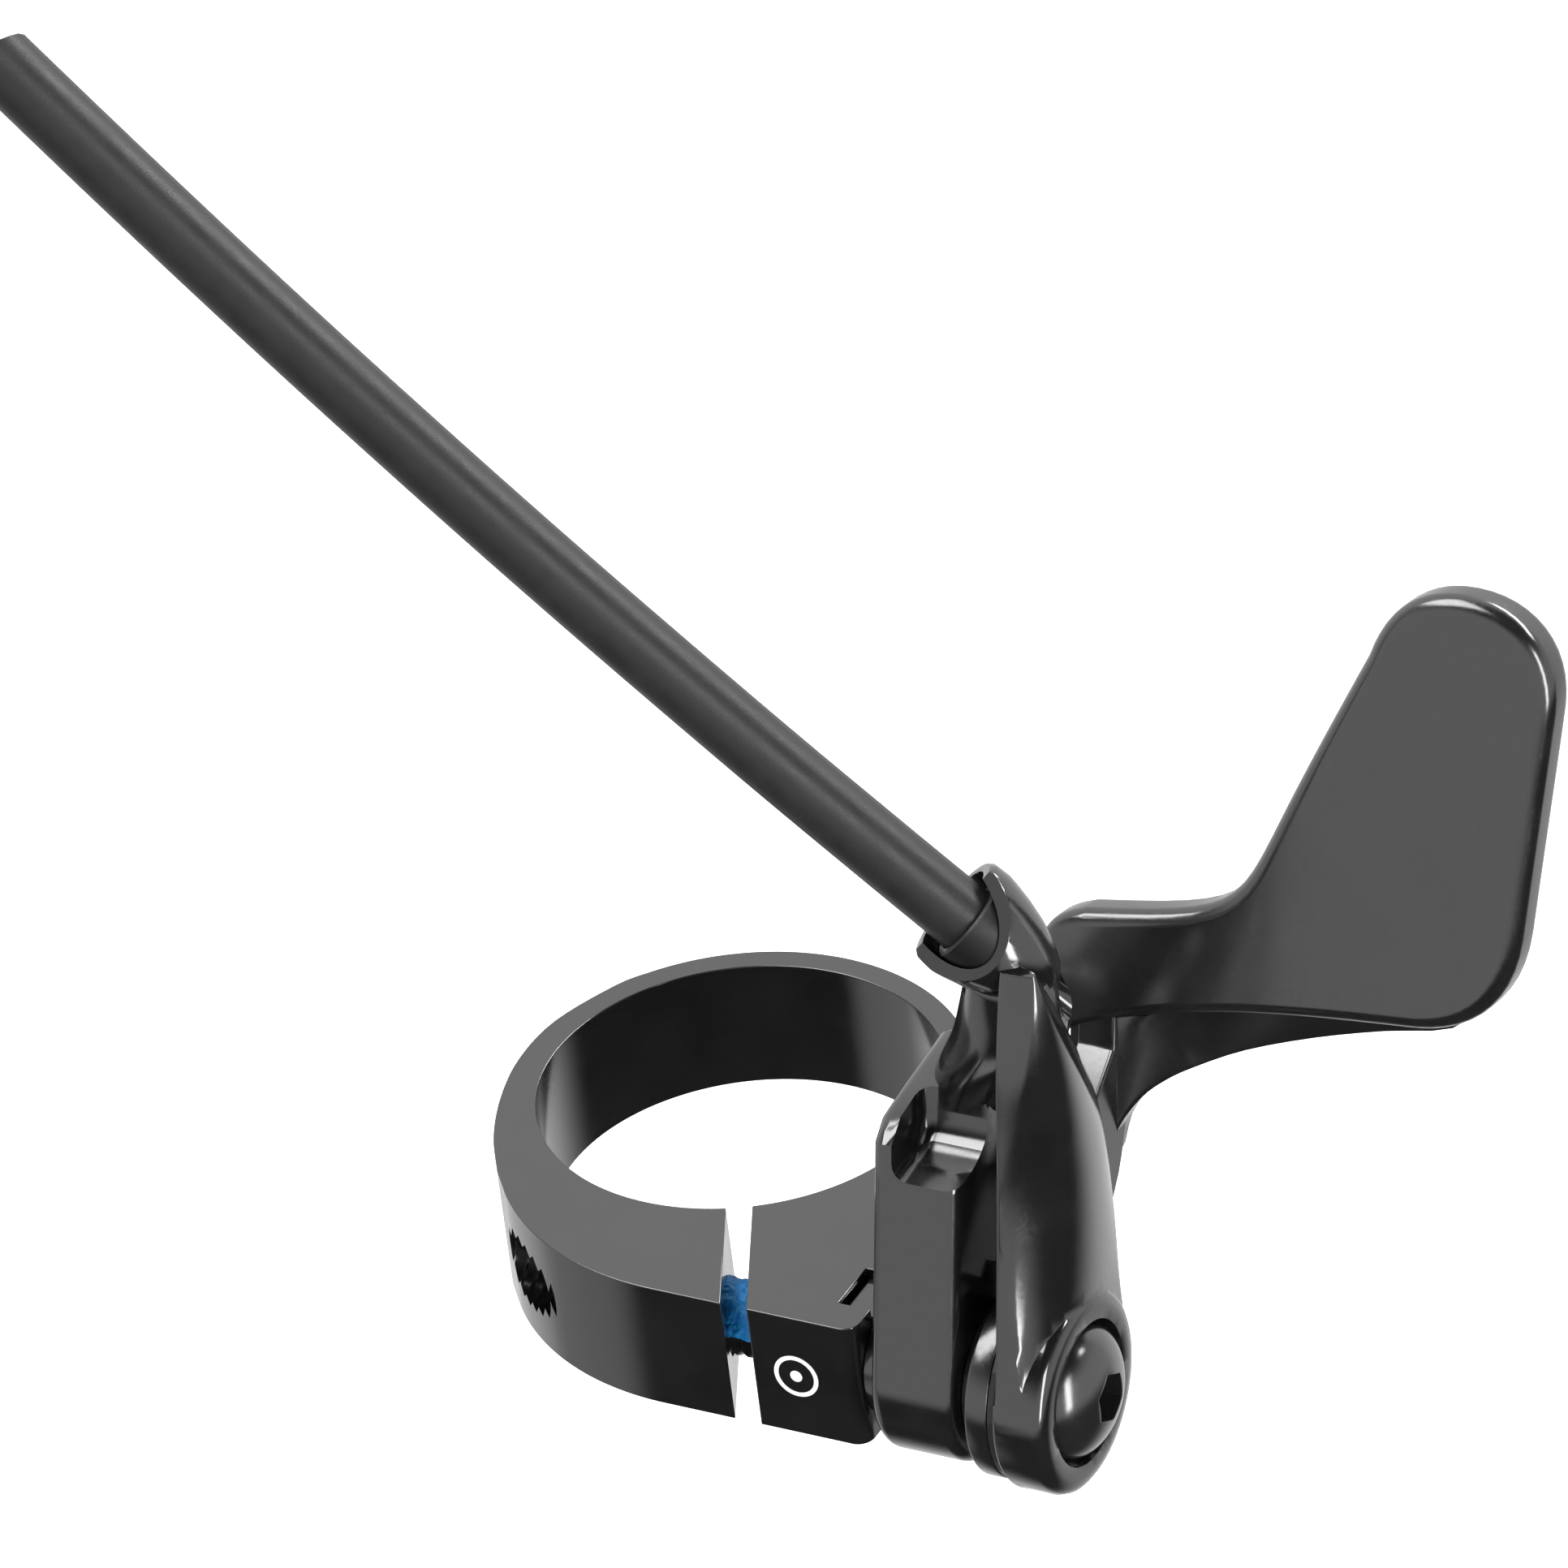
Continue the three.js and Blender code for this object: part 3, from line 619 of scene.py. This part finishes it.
BLACK_LIGHT = (0.012, 0.012, 0.0125)
gloss_black = make_finish(
    "gloss_black_band", BLACK_DARK, BLACK_LIGHT, 260, 5200, (0.1, 0.2), 0.1, 0.01 * MM, 2.0
)
band.data.materials.append(gloss_black)
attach(band, "mounting")
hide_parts("clamp_band")

# ---------- pivot bolt ----------
# A black steel button-head screw with a hex socket. Its head sits in the bracket's counterbore and
# its thread ends in the left arm; a patch of blue adhesive has dried on it where it crosses the gap.

HEAD_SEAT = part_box("bracket")[1].x - 1.2 * MM
HEAD_RADIUS = 3.7 * MM
HEAD_HEIGHT = 2.5 * MM
HEX_SIZE = 2.5 * MM
HEX_DEPTH = 1.6 * MM
BOLT_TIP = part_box("pivot_bolt")[0].x
ONTO_BOLT = Matrix(((0, 0, 1, 0), (0, 1, 0, BOLT_Y), (-1, 0, 0, 0), (0, 0, 0, 1)))


def turned(name, profile, sides=64, turn=ONTO_BOLT):
    """A closed profile of (radius, distance) points spun all the way round its own axis."""
    deselect()
    bpy.ops.mesh.primitive_circle_add(vertices=len(profile), radius=1, fill_type="NOTHING")
    piece = bpy.context.object
    piece.name = name
    for vertex, (radius, distance) in zip(piece.data.vertices, profile):
        vertex.co = (radius, 0, distance)
    bpy.ops.object.mode_set(mode="EDIT")
    bpy.ops.mesh.select_all(action="SELECT")
    bpy.ops.mesh.spin(steps=sides, angle=2 * math.pi, center=(0, 0, 0), axis=(0, 0, 1))
    bpy.ops.mesh.select_all(action="SELECT")
    bpy.ops.mesh.remove_doubles(threshold=0.002 * MM)
    bpy.ops.mesh.select_all(action="SELECT")
    bpy.ops.mesh.delete_loose(use_verts=True, use_edges=True, use_faces=False)
    bpy.ops.mesh.select_all(action="SELECT")
    bpy.ops.mesh.normals_make_consistent(inside=False)
    bpy.ops.object.mode_set(mode="OBJECT")
    piece.data.transform(turn)
    return piece


HEAD_RIM = 0.45 * MM
DOME_END = math.radians(72)
DOME_STEPS = 12
head_profile = [(0, HEAD_SEAT), (HEAD_RADIUS, HEAD_SEAT)]
for step in range(DOME_STEPS + 1):
    lift = DOME_END * step / DOME_STEPS
    rise = (HEAD_HEIGHT - HEAD_RIM) * math.sin(lift) / math.sin(DOME_END)
    head_profile.append((HEAD_RADIUS * math.cos(lift), HEAD_SEAT + HEAD_RIM + rise))
head_profile.append((0, HEAD_SEAT + HEAD_HEIGHT))
bolt = turned("bolt", head_profile)
hex_across = HEX_SIZE / math.sqrt(3)
socket_floor = (HEAD_SEAT + HEAD_HEIGHT - HEX_DEPTH, BOLT_Y, 0)
socket = rod("socket", hex_across, socket_floor, (HEAD_SEAT + 2 * HEAD_HEIGHT, BOLT_Y, 0), 6)
join_or_cut(bolt, socket)
bevel_edges(bolt, 0.12 * MM, 2, 40)
shank = rod("shank", BOLT_RADIUS, (8.6 * MM, BOLT_Y, 0), (HEAD_SEAT + 0.6 * MM, BOLT_Y, 0), 52)
thread_root = BOLT_RADIUS - 0.36 * MM
thread_crest = BOLT_RADIUS - 0.02 * MM
thread = screw_thread("thread", thread_root, thread_crest, THREAD_PITCH, BOLT_TIP - THREAD_PITCH, 9.3 * MM)
join_or_cut(shank, thread, "UNION")
join_or_cut(bolt, shank, "UNION")
smooth_faces(bolt, 30)
STEEL_DARK = (0.008, 0.008, 0.008)
STEEL_LIGHT = (0.016, 0.016, 0.016)
black_steel = make_finish(
    "black_oxide_steel", STEEL_DARK, STEEL_LIGHT, 400, 6000, (0.16, 0.26), 0.15, 0.01 * MM, 2.1
)
bolt.data.materials.append(black_steel)
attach(bolt, "mounting")
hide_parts("pivot_bolt")

patch_low, patch_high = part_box("thread_lock_patch")
adhesive = turned(
    "dried_adhesive",
    [
        (BOLT_RADIUS - 0.3 * MM, patch_low.x),
        (BOLT_RADIUS + 0.03 * MM, patch_low.x),
        (BOLT_RADIUS + 0.06 * MM, (patch_low.x + patch_high.x) / 2),
        (BOLT_RADIUS + 0.03 * MM, patch_high.x),
        (BOLT_RADIUS - 0.3 * MM, patch_high.x),
    ],
    72,
)
upper_half = block(
    "above",
    (patch_low.x - MM, BOLT_Y - 4 * MM, 0.2 * MM),
    (patch_high.x + MM, BOLT_Y + 4 * MM, 4 * MM),
)
join_or_cut(adhesive, upper_half, "INTERSECT")
only(adhesive)
crumble = adhesive.modifiers.new("density", "REMESH")
crumble.mode = "VOXEL"
crumble.voxel_size = 0.06 * MM
flakes = bpy.data.textures.new("flakes", "CLOUDS")
flakes.noise_scale = 0.35 * MM
flakes.noise_depth = 2
lumps = adhesive.modifiers.new("lumps", "DISPLACE")
lumps.texture = flakes
lumps.texture_coords = "LOCAL"
lumps.strength = 0.3 * MM
lumps.mid_level = 0.55
apply_modifiers(adhesive)
smooth_faces(adhesive, 60, weighted=False)
blue_adhesive = make_finish(
    "blue_adhesive", (0.0, 0.16, 0.6), (0.02, 0.42, 0.95), 2600, 9000, (0.35, 0.6), 0.6, 0.05 * MM, 1.5
)
adhesive.data.materials.append(blue_adhesive)
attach(adhesive, "mounting")
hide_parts("thread_lock_patch")

# ---------- printed mark ----------
# A thin white print on the front of the block: a plain ring with a dot in it, standing for the bolt.
# It is a raised film of ink, bonded to the clamp.

ONTO_FRONT = Matrix(((1, 0, 0, 12 * MM), (0, 0, -1, -FRONT_REACH), (0, 1, 0, 0), (0, 0, 0, 1)))
INK = 0.02 * MM
RING_OUTER = 1.3 * MM
RING_INNER = 1.05 * MM
DOT_RADIUS = 0.35 * MM
print_mark = plate("printed_mark", arc((0, 0), RING_OUTER, 0, 354, 59), -INK, INK, ONTO_FRONT)
join_or_cut(print_mark, plate("mark_hole", arc((0, 0), RING_INNER, 0, 354, 59), -MM, MM, ONTO_FRONT))
mark_dot = plate("mark_dot", arc((0, 0), DOT_RADIUS, 0, 352.5, 47), -INK, INK, ONTO_FRONT)
join_or_cut(print_mark, mark_dot, "UNION")
print_mark.data.materials.append(
    make_finish("white_ink", (0.75, 0.75, 0.75), (0.9, 0.9, 0.9), 900, 9000, (0.4, 0.6), 0.1, 0.01 * MM)
)
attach(print_mark, "mounting")

# ---------- bracket ----------
# One forging: a base plate keyed to the clamp, a cheek outside the lever, and a hood on the neck
# between them. The forging leaves a sharp crease down the cheek and every outer edge rolled.

BASE_START = 16.85 * MM
BASE_END = 21.85 * MM
CHEEK_START = 24.45 * MM
CHEEK_END = 27.45 * MM
CHEEK_RADIUS = 5.6 * MM
COUNTERBORE_RADIUS = 4 * MM
FROM_YZ = Matrix(((0, 0, 1, 0), (1, 0, 0, 0), (0, 1, 0, 0), (0, 0, 0, 1)))
HOOD_WAY = Vector((-0.71, -0.14, 0.69)).normalized()
HOOD_MOUTH = Vector((21.5, -11.45, 27.45)) * MM
HOOD_BORE = 2.45 * MM
HOOD_RADIUS = 3.2 * MM
HOOD_END = -6.4 * MM
HOOD_LIP = 0.5 * MM
ONTO_HOUSING = Matrix.Translation(HOOD_MOUTH) @ HOOD_WAY.to_track_quat("Z", "Y").to_matrix().to_4x4()


def loft(name, rings):
    """A closed skin over rings that all have the same number of points."""
    count = len(rings[0])
    deselect()
    bpy.ops.mesh.primitive_circle_add(vertices=count, radius=1, fill_type="NGON")
    piece = bpy.context.object
    piece.name = name
    bpy.ops.object.mode_set(mode="EDIT")
    bpy.ops.mesh.select_all(action="SELECT")
    for _ in rings[1:]:
        bpy.ops.mesh.extrude_region_move(TRANSFORM_OT_translate={"value": (0, 0, 1)})
    bpy.ops.object.mode_set(mode="OBJECT")
    step = 2 * math.pi / count
    for vertex in piece.data.vertices:
        ring = rings[round(vertex.co.z)]
        vertex.co = ring[round(math.atan2(vertex.co.y, vertex.co.x) / step) % count]
    only(piece)
    bpy.ops.object.mode_set(mode="EDIT")
    bpy.ops.mesh.select_all(action="SELECT")
    bpy.ops.mesh.normals_make_consistent(inside=False)
    bpy.ops.object.mode_set(mode="OBJECT")
    return piece


def cheek_ring(station):
    """One level of the cheek: flat inside, a flank in front, and a bowed outer face behind a crease."""
    level, front, crease, bow, back_x, back = station
    inner = CHEEK_START / MM + 0.15
    roll = 0.22
    depth = back - front
    ring = [(inner, back - roll), (inner, front + depth * 0.6), (inner, front + depth * 0.3)]
    ring += [(inner, front + roll), (inner + 0.05, front + 0.07), (inner + roll, front)]
    ring += [(inner + 0.5 * (crease - inner), front + 0.05), (crease, front + 0.16)]
    start, end = Vector((crease, front + 0.16)), Vector((back_x, back - roll))
    first = Vector((bow, front + 0.22 * depth))
    second = Vector((bow, front + 0.66 * depth))
    ring += bezier(start, first, second, end, 21)
    ring += [(back_x - 0.1, back - 0.05), (inner + 0.5 * (back_x - inner), back)]
    ring.append((inner + roll, back - 0.03))
    return [Vector((x, y, level)) * MM for x, y in ring]


CHEEK_STATIONS = [
    # level, front edge, crease, bow, back edge out, back edge, all in millimetres
    Vector((-5.2, -16.3, 26.7, 27.5, 26.9, -12.3)),
    Vector((-3.6, -18.6, 26.8, 27.5, 26.9, -10.0)),
    Vector((0, -19.85, 26.6, 27.5, 26.9, -8.7)),
    Vector((3.5, -19.1, 26.0, 27.6, 26.7, -8.2)),
    Vector((8, -18.0, 25.3, 27.9, 26.4, -7.4)),
    Vector((13, -16.85, 25.05, 28.1, 26.0, -7.0)),
    Vector((17, -16.0, 25.5, 28.2, 25.7, -7.9)),
    Vector((20.5, -15.3, 26.1, 28.0, 25.6, -9.4)),
    Vector((24, -14.3, 26.5, 27.3, 25.5, -11.2)),
    Vector((25.9, -13.6, 26.3, 26.7, 25.5, -12.6)),
]
forging = loft("forged_bracket", [cheek_ring(station) for station in smooth_through(CHEEK_STATIONS, 5)])
boss = turned(
    "boss",
    [
        (0, CHEEK_START),
        (5.4 * MM, CHEEK_START),
        (5.58 * MM, CHEEK_START + 0.25 * MM),
        (CHEEK_RADIUS, CHEEK_END - 0.7 * MM),
        (5.45 * MM, CHEEK_END - 0.3 * MM),
        (5.15 * MM, CHEEK_END - 0.08 * MM),
        (4.7 * MM, CHEEK_END),
        (0, CHEEK_END),
    ],
)
join_or_cut(forging, boss, "UNION")
join_or_cut(forging, rod("cheek_hole", BOLT_HOLE, (20 * MM, BOLT_Y, 0), (30 * MM, BOLT_Y, 0), 48))
counterbore = rod("counterbore", COUNTERBORE_RADIUS, (HEAD_SEAT, BOLT_Y, 0), (30 * MM, BOLT_Y, 0), 64)
join_or_cut(forging, counterbore)

BASE_OUTLINE = arc((-14.3, 0), 4.9, -6, -195, 40) + [
    Vector((-16.1, 12.6)),
    Vector((-15.6, 14.7)),
    Vector((-14.3, 15.7)),
    Vector((-11.7, 16.0)),
    Vector((-7.2, 16.3)),
    Vector((-6.0, 15.6)),
    Vector((-6.3, 13.4)),
]
base = plate("base", [point * MM for point in BASE_OUTLINE], BASE_START, BASE_END, FROM_YZ)
bevel_edges(base, 0.75 * MM, 5, 50)
pad = rod("pad", 3.3 * MM, (15.85 * MM, BOLT_Y, 0), (BASE_START + MM, BOLT_Y, 0), 48)
join_or_cut(base, pad, "UNION")
tongue = block("tongue", (14.1 * MM, -15.85 * MM, -2.6 * MM), (BASE_START + MM, -12.75 * MM, 3.3 * MM))
bevel_edges(tongue, 0.15 * MM, 2)
join_or_cut(base, tongue, "UNION")
# the hollow in the top of the plate leaves a thin lip, hooked at its foot
HOLLOW_OUTLINE = ((-20, 12.7), (-13.6, 12.9), (-12.0, 13.8), (-11.5, 16.4), (-11.4, 22), (-20, 22))
hollow = plate(
    "hollow",
    [Vector(point) * MM for point in HOLLOW_OUTLINE],
    18.1 * MM,
    24 * MM,
    FROM_YZ,
)
bevel_edges(hollow, 0.9 * MM, 4, 20)
join_or_cut(base, hollow)
join_or_cut(base, rod("base_hole", BOLT_HOLE, (13 * MM, BOLT_Y, 0), (23 * MM, BOLT_Y, 0), 48))
join_or_cut(forging, base, "UNION")

NECK_RINGS = (
    # middle, half width across X, half depth along Y, in millimetres
    ((19.6, -9.3, 13.6), 2.1, 2.3),
    ((20.9, -9.7, 16.4), 2.7, 2.5),
    ((22.9, -10.4, 19.4), 3.1, 2.7),
    ((23.8, -10.9, 22.0), 3.0, 2.7),
    ((23.9, -11.2, 24.2), 2.4, 2.3),
)
neck_lines = [
    [
        Vector(middle) + Vector((wide * math.cos(a), deep * math.sin(a), 0))
        for middle, wide, deep in NECK_RINGS
    ]
    for a in (2 * math.pi * k / 32 for k in range(32))
]
neck_lines = [smooth_through(line, 4) for line in neck_lines]
neck = loft("neck", [[line[level] * MM for line in neck_lines] for level in range(len(neck_lines[0]))])
room = block("lever_room", (BASE_END, -23 * MM, -9 * MM), (CHEEK_START + 0.15 * MM, 0, 12.4 * MM))
join_or_cut(neck, room)
join_or_cut(forging, neck, "UNION")

EGG = ((0, 0), (0.2, 0.03), (0.42, 0.13), (0.62, 0.3), (0.78, 0.5), (0.9, 0.72), (0.97, 0.9), (1, 1))
egg_profile = [(HOOD_RADIUS * wide, HOOD_END + (HOOD_LIP - 1.2 * MM - HOOD_END) * far) for wide, far in EGG]
egg_profile += [(HOOD_RADIUS * 0.99, HOOD_LIP - 0.25 * MM), (HOOD_RADIUS * 0.93, HOOD_LIP), (0, HOOD_LIP)]
hood = turned("hood", egg_profile, 80, ONTO_HOUSING)
opening_way = Vector((-0.15, -0.8, 0.58)).normalized()
opening = block("opening", (-20 * MM, -20 * MM, 0), (20 * MM, 20 * MM, 30 * MM))
opening_place = HOOD_MOUTH + HOOD_WAY * 0.2 * MM + opening_way * 0.4 * MM
opening.data.transform(
    Matrix.Translation(opening_place) @ opening_way.to_track_quat("Z", "Y").to_matrix().to_4x4()
)
join_or_cut(hood, opening)
join_or_cut(forging, hood, "UNION")

floor_in_hood = HOOD_MOUTH + HOOD_WAY * -3.1 * MM
past_mouth = HOOD_MOUTH + HOOD_WAY * 12 * MM
WIRE_HOLE = 0.8 * MM
join_or_cut(forging, rod("hood_bore", HOOD_BORE, floor_in_hood, past_mouth, 64))
join_or_cut(forging, rod("wire_hole", WIRE_HOLE, HOOD_MOUTH - HOOD_WAY * 20 * MM, past_mouth, 24))
edge = forging.modifiers.new("rolled", "BEVEL")
edge.width = 0.13 * MM
edge.segments = 2
edge.limit_method = "ANGLE"
edge.angle_limit = math.radians(48)
edge.use_clamp_overlap = True
apply_modifiers(forging)
smooth_faces(forging, 38)
bracket_finish = make_finish(
    "gloss_black_bracket", BLACK_DARK, BLACK_LIGHT, 320, 4200, (0.1, 0.2), 0.1, 0.01 * MM, 2.0
)
forging.data.materials.append(bracket_finish)
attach(forging, "mounting")
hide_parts("bracket")

# ---------- lever ----------
# A flat forged paddle with rolled edges on an arm that runs down to the hub on the bolt. Below its
# face a gusset falls away to the arm, so the paddle's lower edge stands out as a rim.

PADDLE_TILT = math.radians(14)
PADDLE_THICKNESS = 2.7 * MM
PADDLE_ROOT = Vector((23.15, -1, 18)) * MM
PADDLE_TURN = Matrix.Rotation(math.pi / 2 - PADDLE_TILT, 4, "X")
STAND_UP = Matrix.Translation((0, PADDLE_ROOT.y, PADDLE_ROOT.z)) @ PADDLE_TURN

# across is X and up is the distance along the face, in millimetres
paddle_points = [Vector((19.55, -1))]
for first, second, end in (
    ((19.55, 1.4), (20.75, 2), (22.35, 2.5)),
    ((31.15, 3.9), (31, 4.2), (33.6, 9.9)),
    ((35, 13), (37, 17), (38.4, 19.8)),
    ((39.4, 22.8), (41.4, 24), (43.8, 24)),
    ((47, 24), (49.3, 21.8), (49, 18.4)),
    ((48.5, 14), (48, 10), (47.5, 5.6)),
    ((47, 1.4), (44.4, -0.4), (41, -0.6)),
    ((35, -1.1), (30, -1.7), (25, -3.2)),
    ((23, -3.8), (21.6, -4.4), (20.9, -5)),
):
    paddle_points += bezier(paddle_points[-1], first, second, end, 12)
paddle_points.append(Vector((19.55, -5)))
lever = plate("lever", [point * MM for point in paddle_points], -PADDLE_THICKNESS, 0, STAND_UP)
bevel_edges(lever, 0.85 * MM, 6, 50, clamp=False)


def on_paddle(across, up, depth):
    """A place on the paddle, at a depth behind its face, all in millimetres."""
    return STAND_UP @ Vector((across * MM, up * MM, -depth * MM))


# the gusset: a wedge whose upper side stays behind the rim and whose foot leans back to the arm
GUSSET_STATIONS = [
    # across, top, foot, depth of the top and of the foot behind the face
    Vector((21.6, -0.5, -12.6, 0.5, 0.3)),
    Vector((23.6, -1.0, -12.2, 0.5, 0.4)),
    Vector((24.3, -1.2, -9.8, 0.6, 0.7)),
    Vector((25.4, -1.3, -8.0, 0.7, 1.1)),
    Vector((26.6, -1.2, -6.9, 0.8, 1.6)),
    Vector((28.1, -1.0, -6.0, 0.9, 2.1)),
    Vector((31, -0.6, -4.5, 0.9, 2.2)),
    Vector((35, 0.0, -3.0, 1.0, 2.2)),
    Vector((39, 0.4, -1.8, 1.0, 2.1)),
    Vector((43, 0.8, -0.8, 1.1, 2.0)),
    Vector((45, 2.4, 1.2, 1.2, 1.9)),
]
gusset_rings = []
for across, top, foot, front, foot_front in smooth_through(GUSSET_STATIONS, 3):
    ring = []
    for corner, after in (
        ((top, front), (foot, foot_front)),
        ((foot, foot_front), (foot + 0.3, 2.65)),
        ((foot + 0.3, 2.65), (top, 2.65)),
        ((top, 2.65), (top, front)),
    ):
        for part in (0.06, 0.35, 0.65, 0.94):
            up = corner[0] + (after[0] - corner[0]) * part
            depth = corner[1] + (after[1] - corner[1]) * part
            ring.append(on_paddle(across, up, depth))
    gusset_rings.append(ring)
join_or_cut(lever, loft("gusset", gusset_rings), "UNION")

ARM_OUTLINE = [Vector((-10, -2.2)), Vector((-2.9, 5.6))]
ARM_OUTLINE += bezier((-2.9, 5.6), (-1.2, 8), (-0.3, 11), (0.6, 16), 10)
ARM_OUTLINE += [Vector((1.4, 19)), Vector((-0.4, 19)), Vector((-1.9, 13)), Vector((-7.4, 9.4))]
ARM_OUTLINE.append(Vector((-13.4, 4.8)))
arm_points = [point * MM for point in ARM_OUTLINE]
hub_start, hub_end = 22.7 * MM, 24.05 * MM
ARM_CLEARANCE = 0.2 * MM
WEB_INSET = 0.05 * MM
arm = plate("arm", arm_points, BASE_END + ARM_CLEARANCE, CHEEK_START - ARM_CLEARANCE, FROM_YZ)
join_or_cut(arm, rod("swing_room", 6 * MM, (BASE_END - MM, BOLT_Y, 0), (CHEEK_START + MM, BOLT_Y, 0), 64))
bevel_edges(arm, 0.3 * MM, 3, 35)
web = plate("web", arm_points, hub_start + WEB_INSET, hub_end - WEB_INSET, FROM_YZ)
join_or_cut(arm, web, "UNION")
hub = rod("hub", 5.3 * MM, (hub_start, BOLT_Y, 0), (hub_end, BOLT_Y, 0), 80)
bevel_edges(hub, 0.18 * MM, 3)
join_or_cut(arm, hub, "UNION")
join_or_cut(lever, arm, "UNION")
join_or_cut(lever, rod("bush_hole", 3.55 * MM, (20 * MM, BOLT_Y, 0), (26 * MM, BOLT_Y, 0), 64))
anchor_start = on_paddle(25.35, -1.6, 0.8)
anchor_end = on_paddle(25.35, -1.6, 5)
join_or_cut(lever, rod("anchor_hole", 1.55 * MM, anchor_start, anchor_end, 32))
smooth_faces(lever, 32)
LEVER_DARK = (0.007, 0.007, 0.0073)
LEVER_LIGHT = (0.013, 0.013, 0.0135)
lever_finish = make_finish(
    "gloss_black_lever", LEVER_DARK, LEVER_LIGHT, 300, 4200, (0.14, 0.26), 0.12, 0.01 * MM, 2.0
)
lever.data.materials.append(lever_finish)
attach(lever, "lever")
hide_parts("thumb_lever")

# ---------- small parts ----------
# The pieces hidden between the big ones: bronze sleeve and bush, slick plastic washers and ferrule,
# and a black steel screw with its washer that would hold the inner wire.

plain_finishes = {
    "slick_plastic": make_finish(
        "acetal", (0.012, 0.012, 0.012), (0.02, 0.02, 0.02), 500, 6000, (0.3, 0.45), 0.2, 0.02 * MM
    ),
    "bronze": make_finish(
        "bearing_bronze",
        (0.35, 0.2, 0.08),
        (0.5, 0.33, 0.15),
        500,
        6000,
        (0.25, 0.4),
        0.2,
        0.02 * MM,
        metallic=1.0,
    ),
}
for node_name, finish_name in (
    ("pivot_sleeve", "bronze"),
    ("hub_spacer", "slick_plastic"),
    ("thrust_washer", "slick_plastic"),
    ("lever_bush", "bronze"),
):
    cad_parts[node_name].data.materials.clear()
    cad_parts[node_name].data.materials.append(plain_finishes[finish_name])
for node_name in ("anchor_washer", "anchor_screw"):
    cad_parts[node_name].data.materials.clear()
    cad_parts[node_name].data.materials.append(black_steel)

FERRULE_FLOOR = -2.8 * MM
FERRULE_MOUTH = -0.4 * MM
FERRULE_RADIUS = 2.3 * MM
FERRULE_BORE = 1.9 * MM
ferrule = turned(
    "ferrule",
    [
        (0.8 * MM, FERRULE_FLOOR),
        (FERRULE_RADIUS - 0.15 * MM, FERRULE_FLOOR),
        (FERRULE_RADIUS, FERRULE_FLOOR + 0.15 * MM),
        (FERRULE_RADIUS, FERRULE_MOUTH - 0.12 * MM),
        (FERRULE_RADIUS - 0.12 * MM, FERRULE_MOUTH),
        (FERRULE_BORE, FERRULE_MOUTH),
        (FERRULE_BORE, FERRULE_FLOOR + 0.4 * MM),
        (0.8 * MM, FERRULE_FLOOR + 0.4 * MM),
    ],
    64,
    ONTO_HOUSING,
)
smooth_faces(ferrule, 35)
FERRULE_DARK = (0.004, 0.004, 0.004)
ferrule.data.materials.append(
    make_finish("black_ferrule", FERRULE_DARK, STEEL_DARK, 500, 6000, (0.4, 0.55), 0.2, 0.02 * MM)
)
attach(ferrule, "mounting")
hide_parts("housing_ferrule")
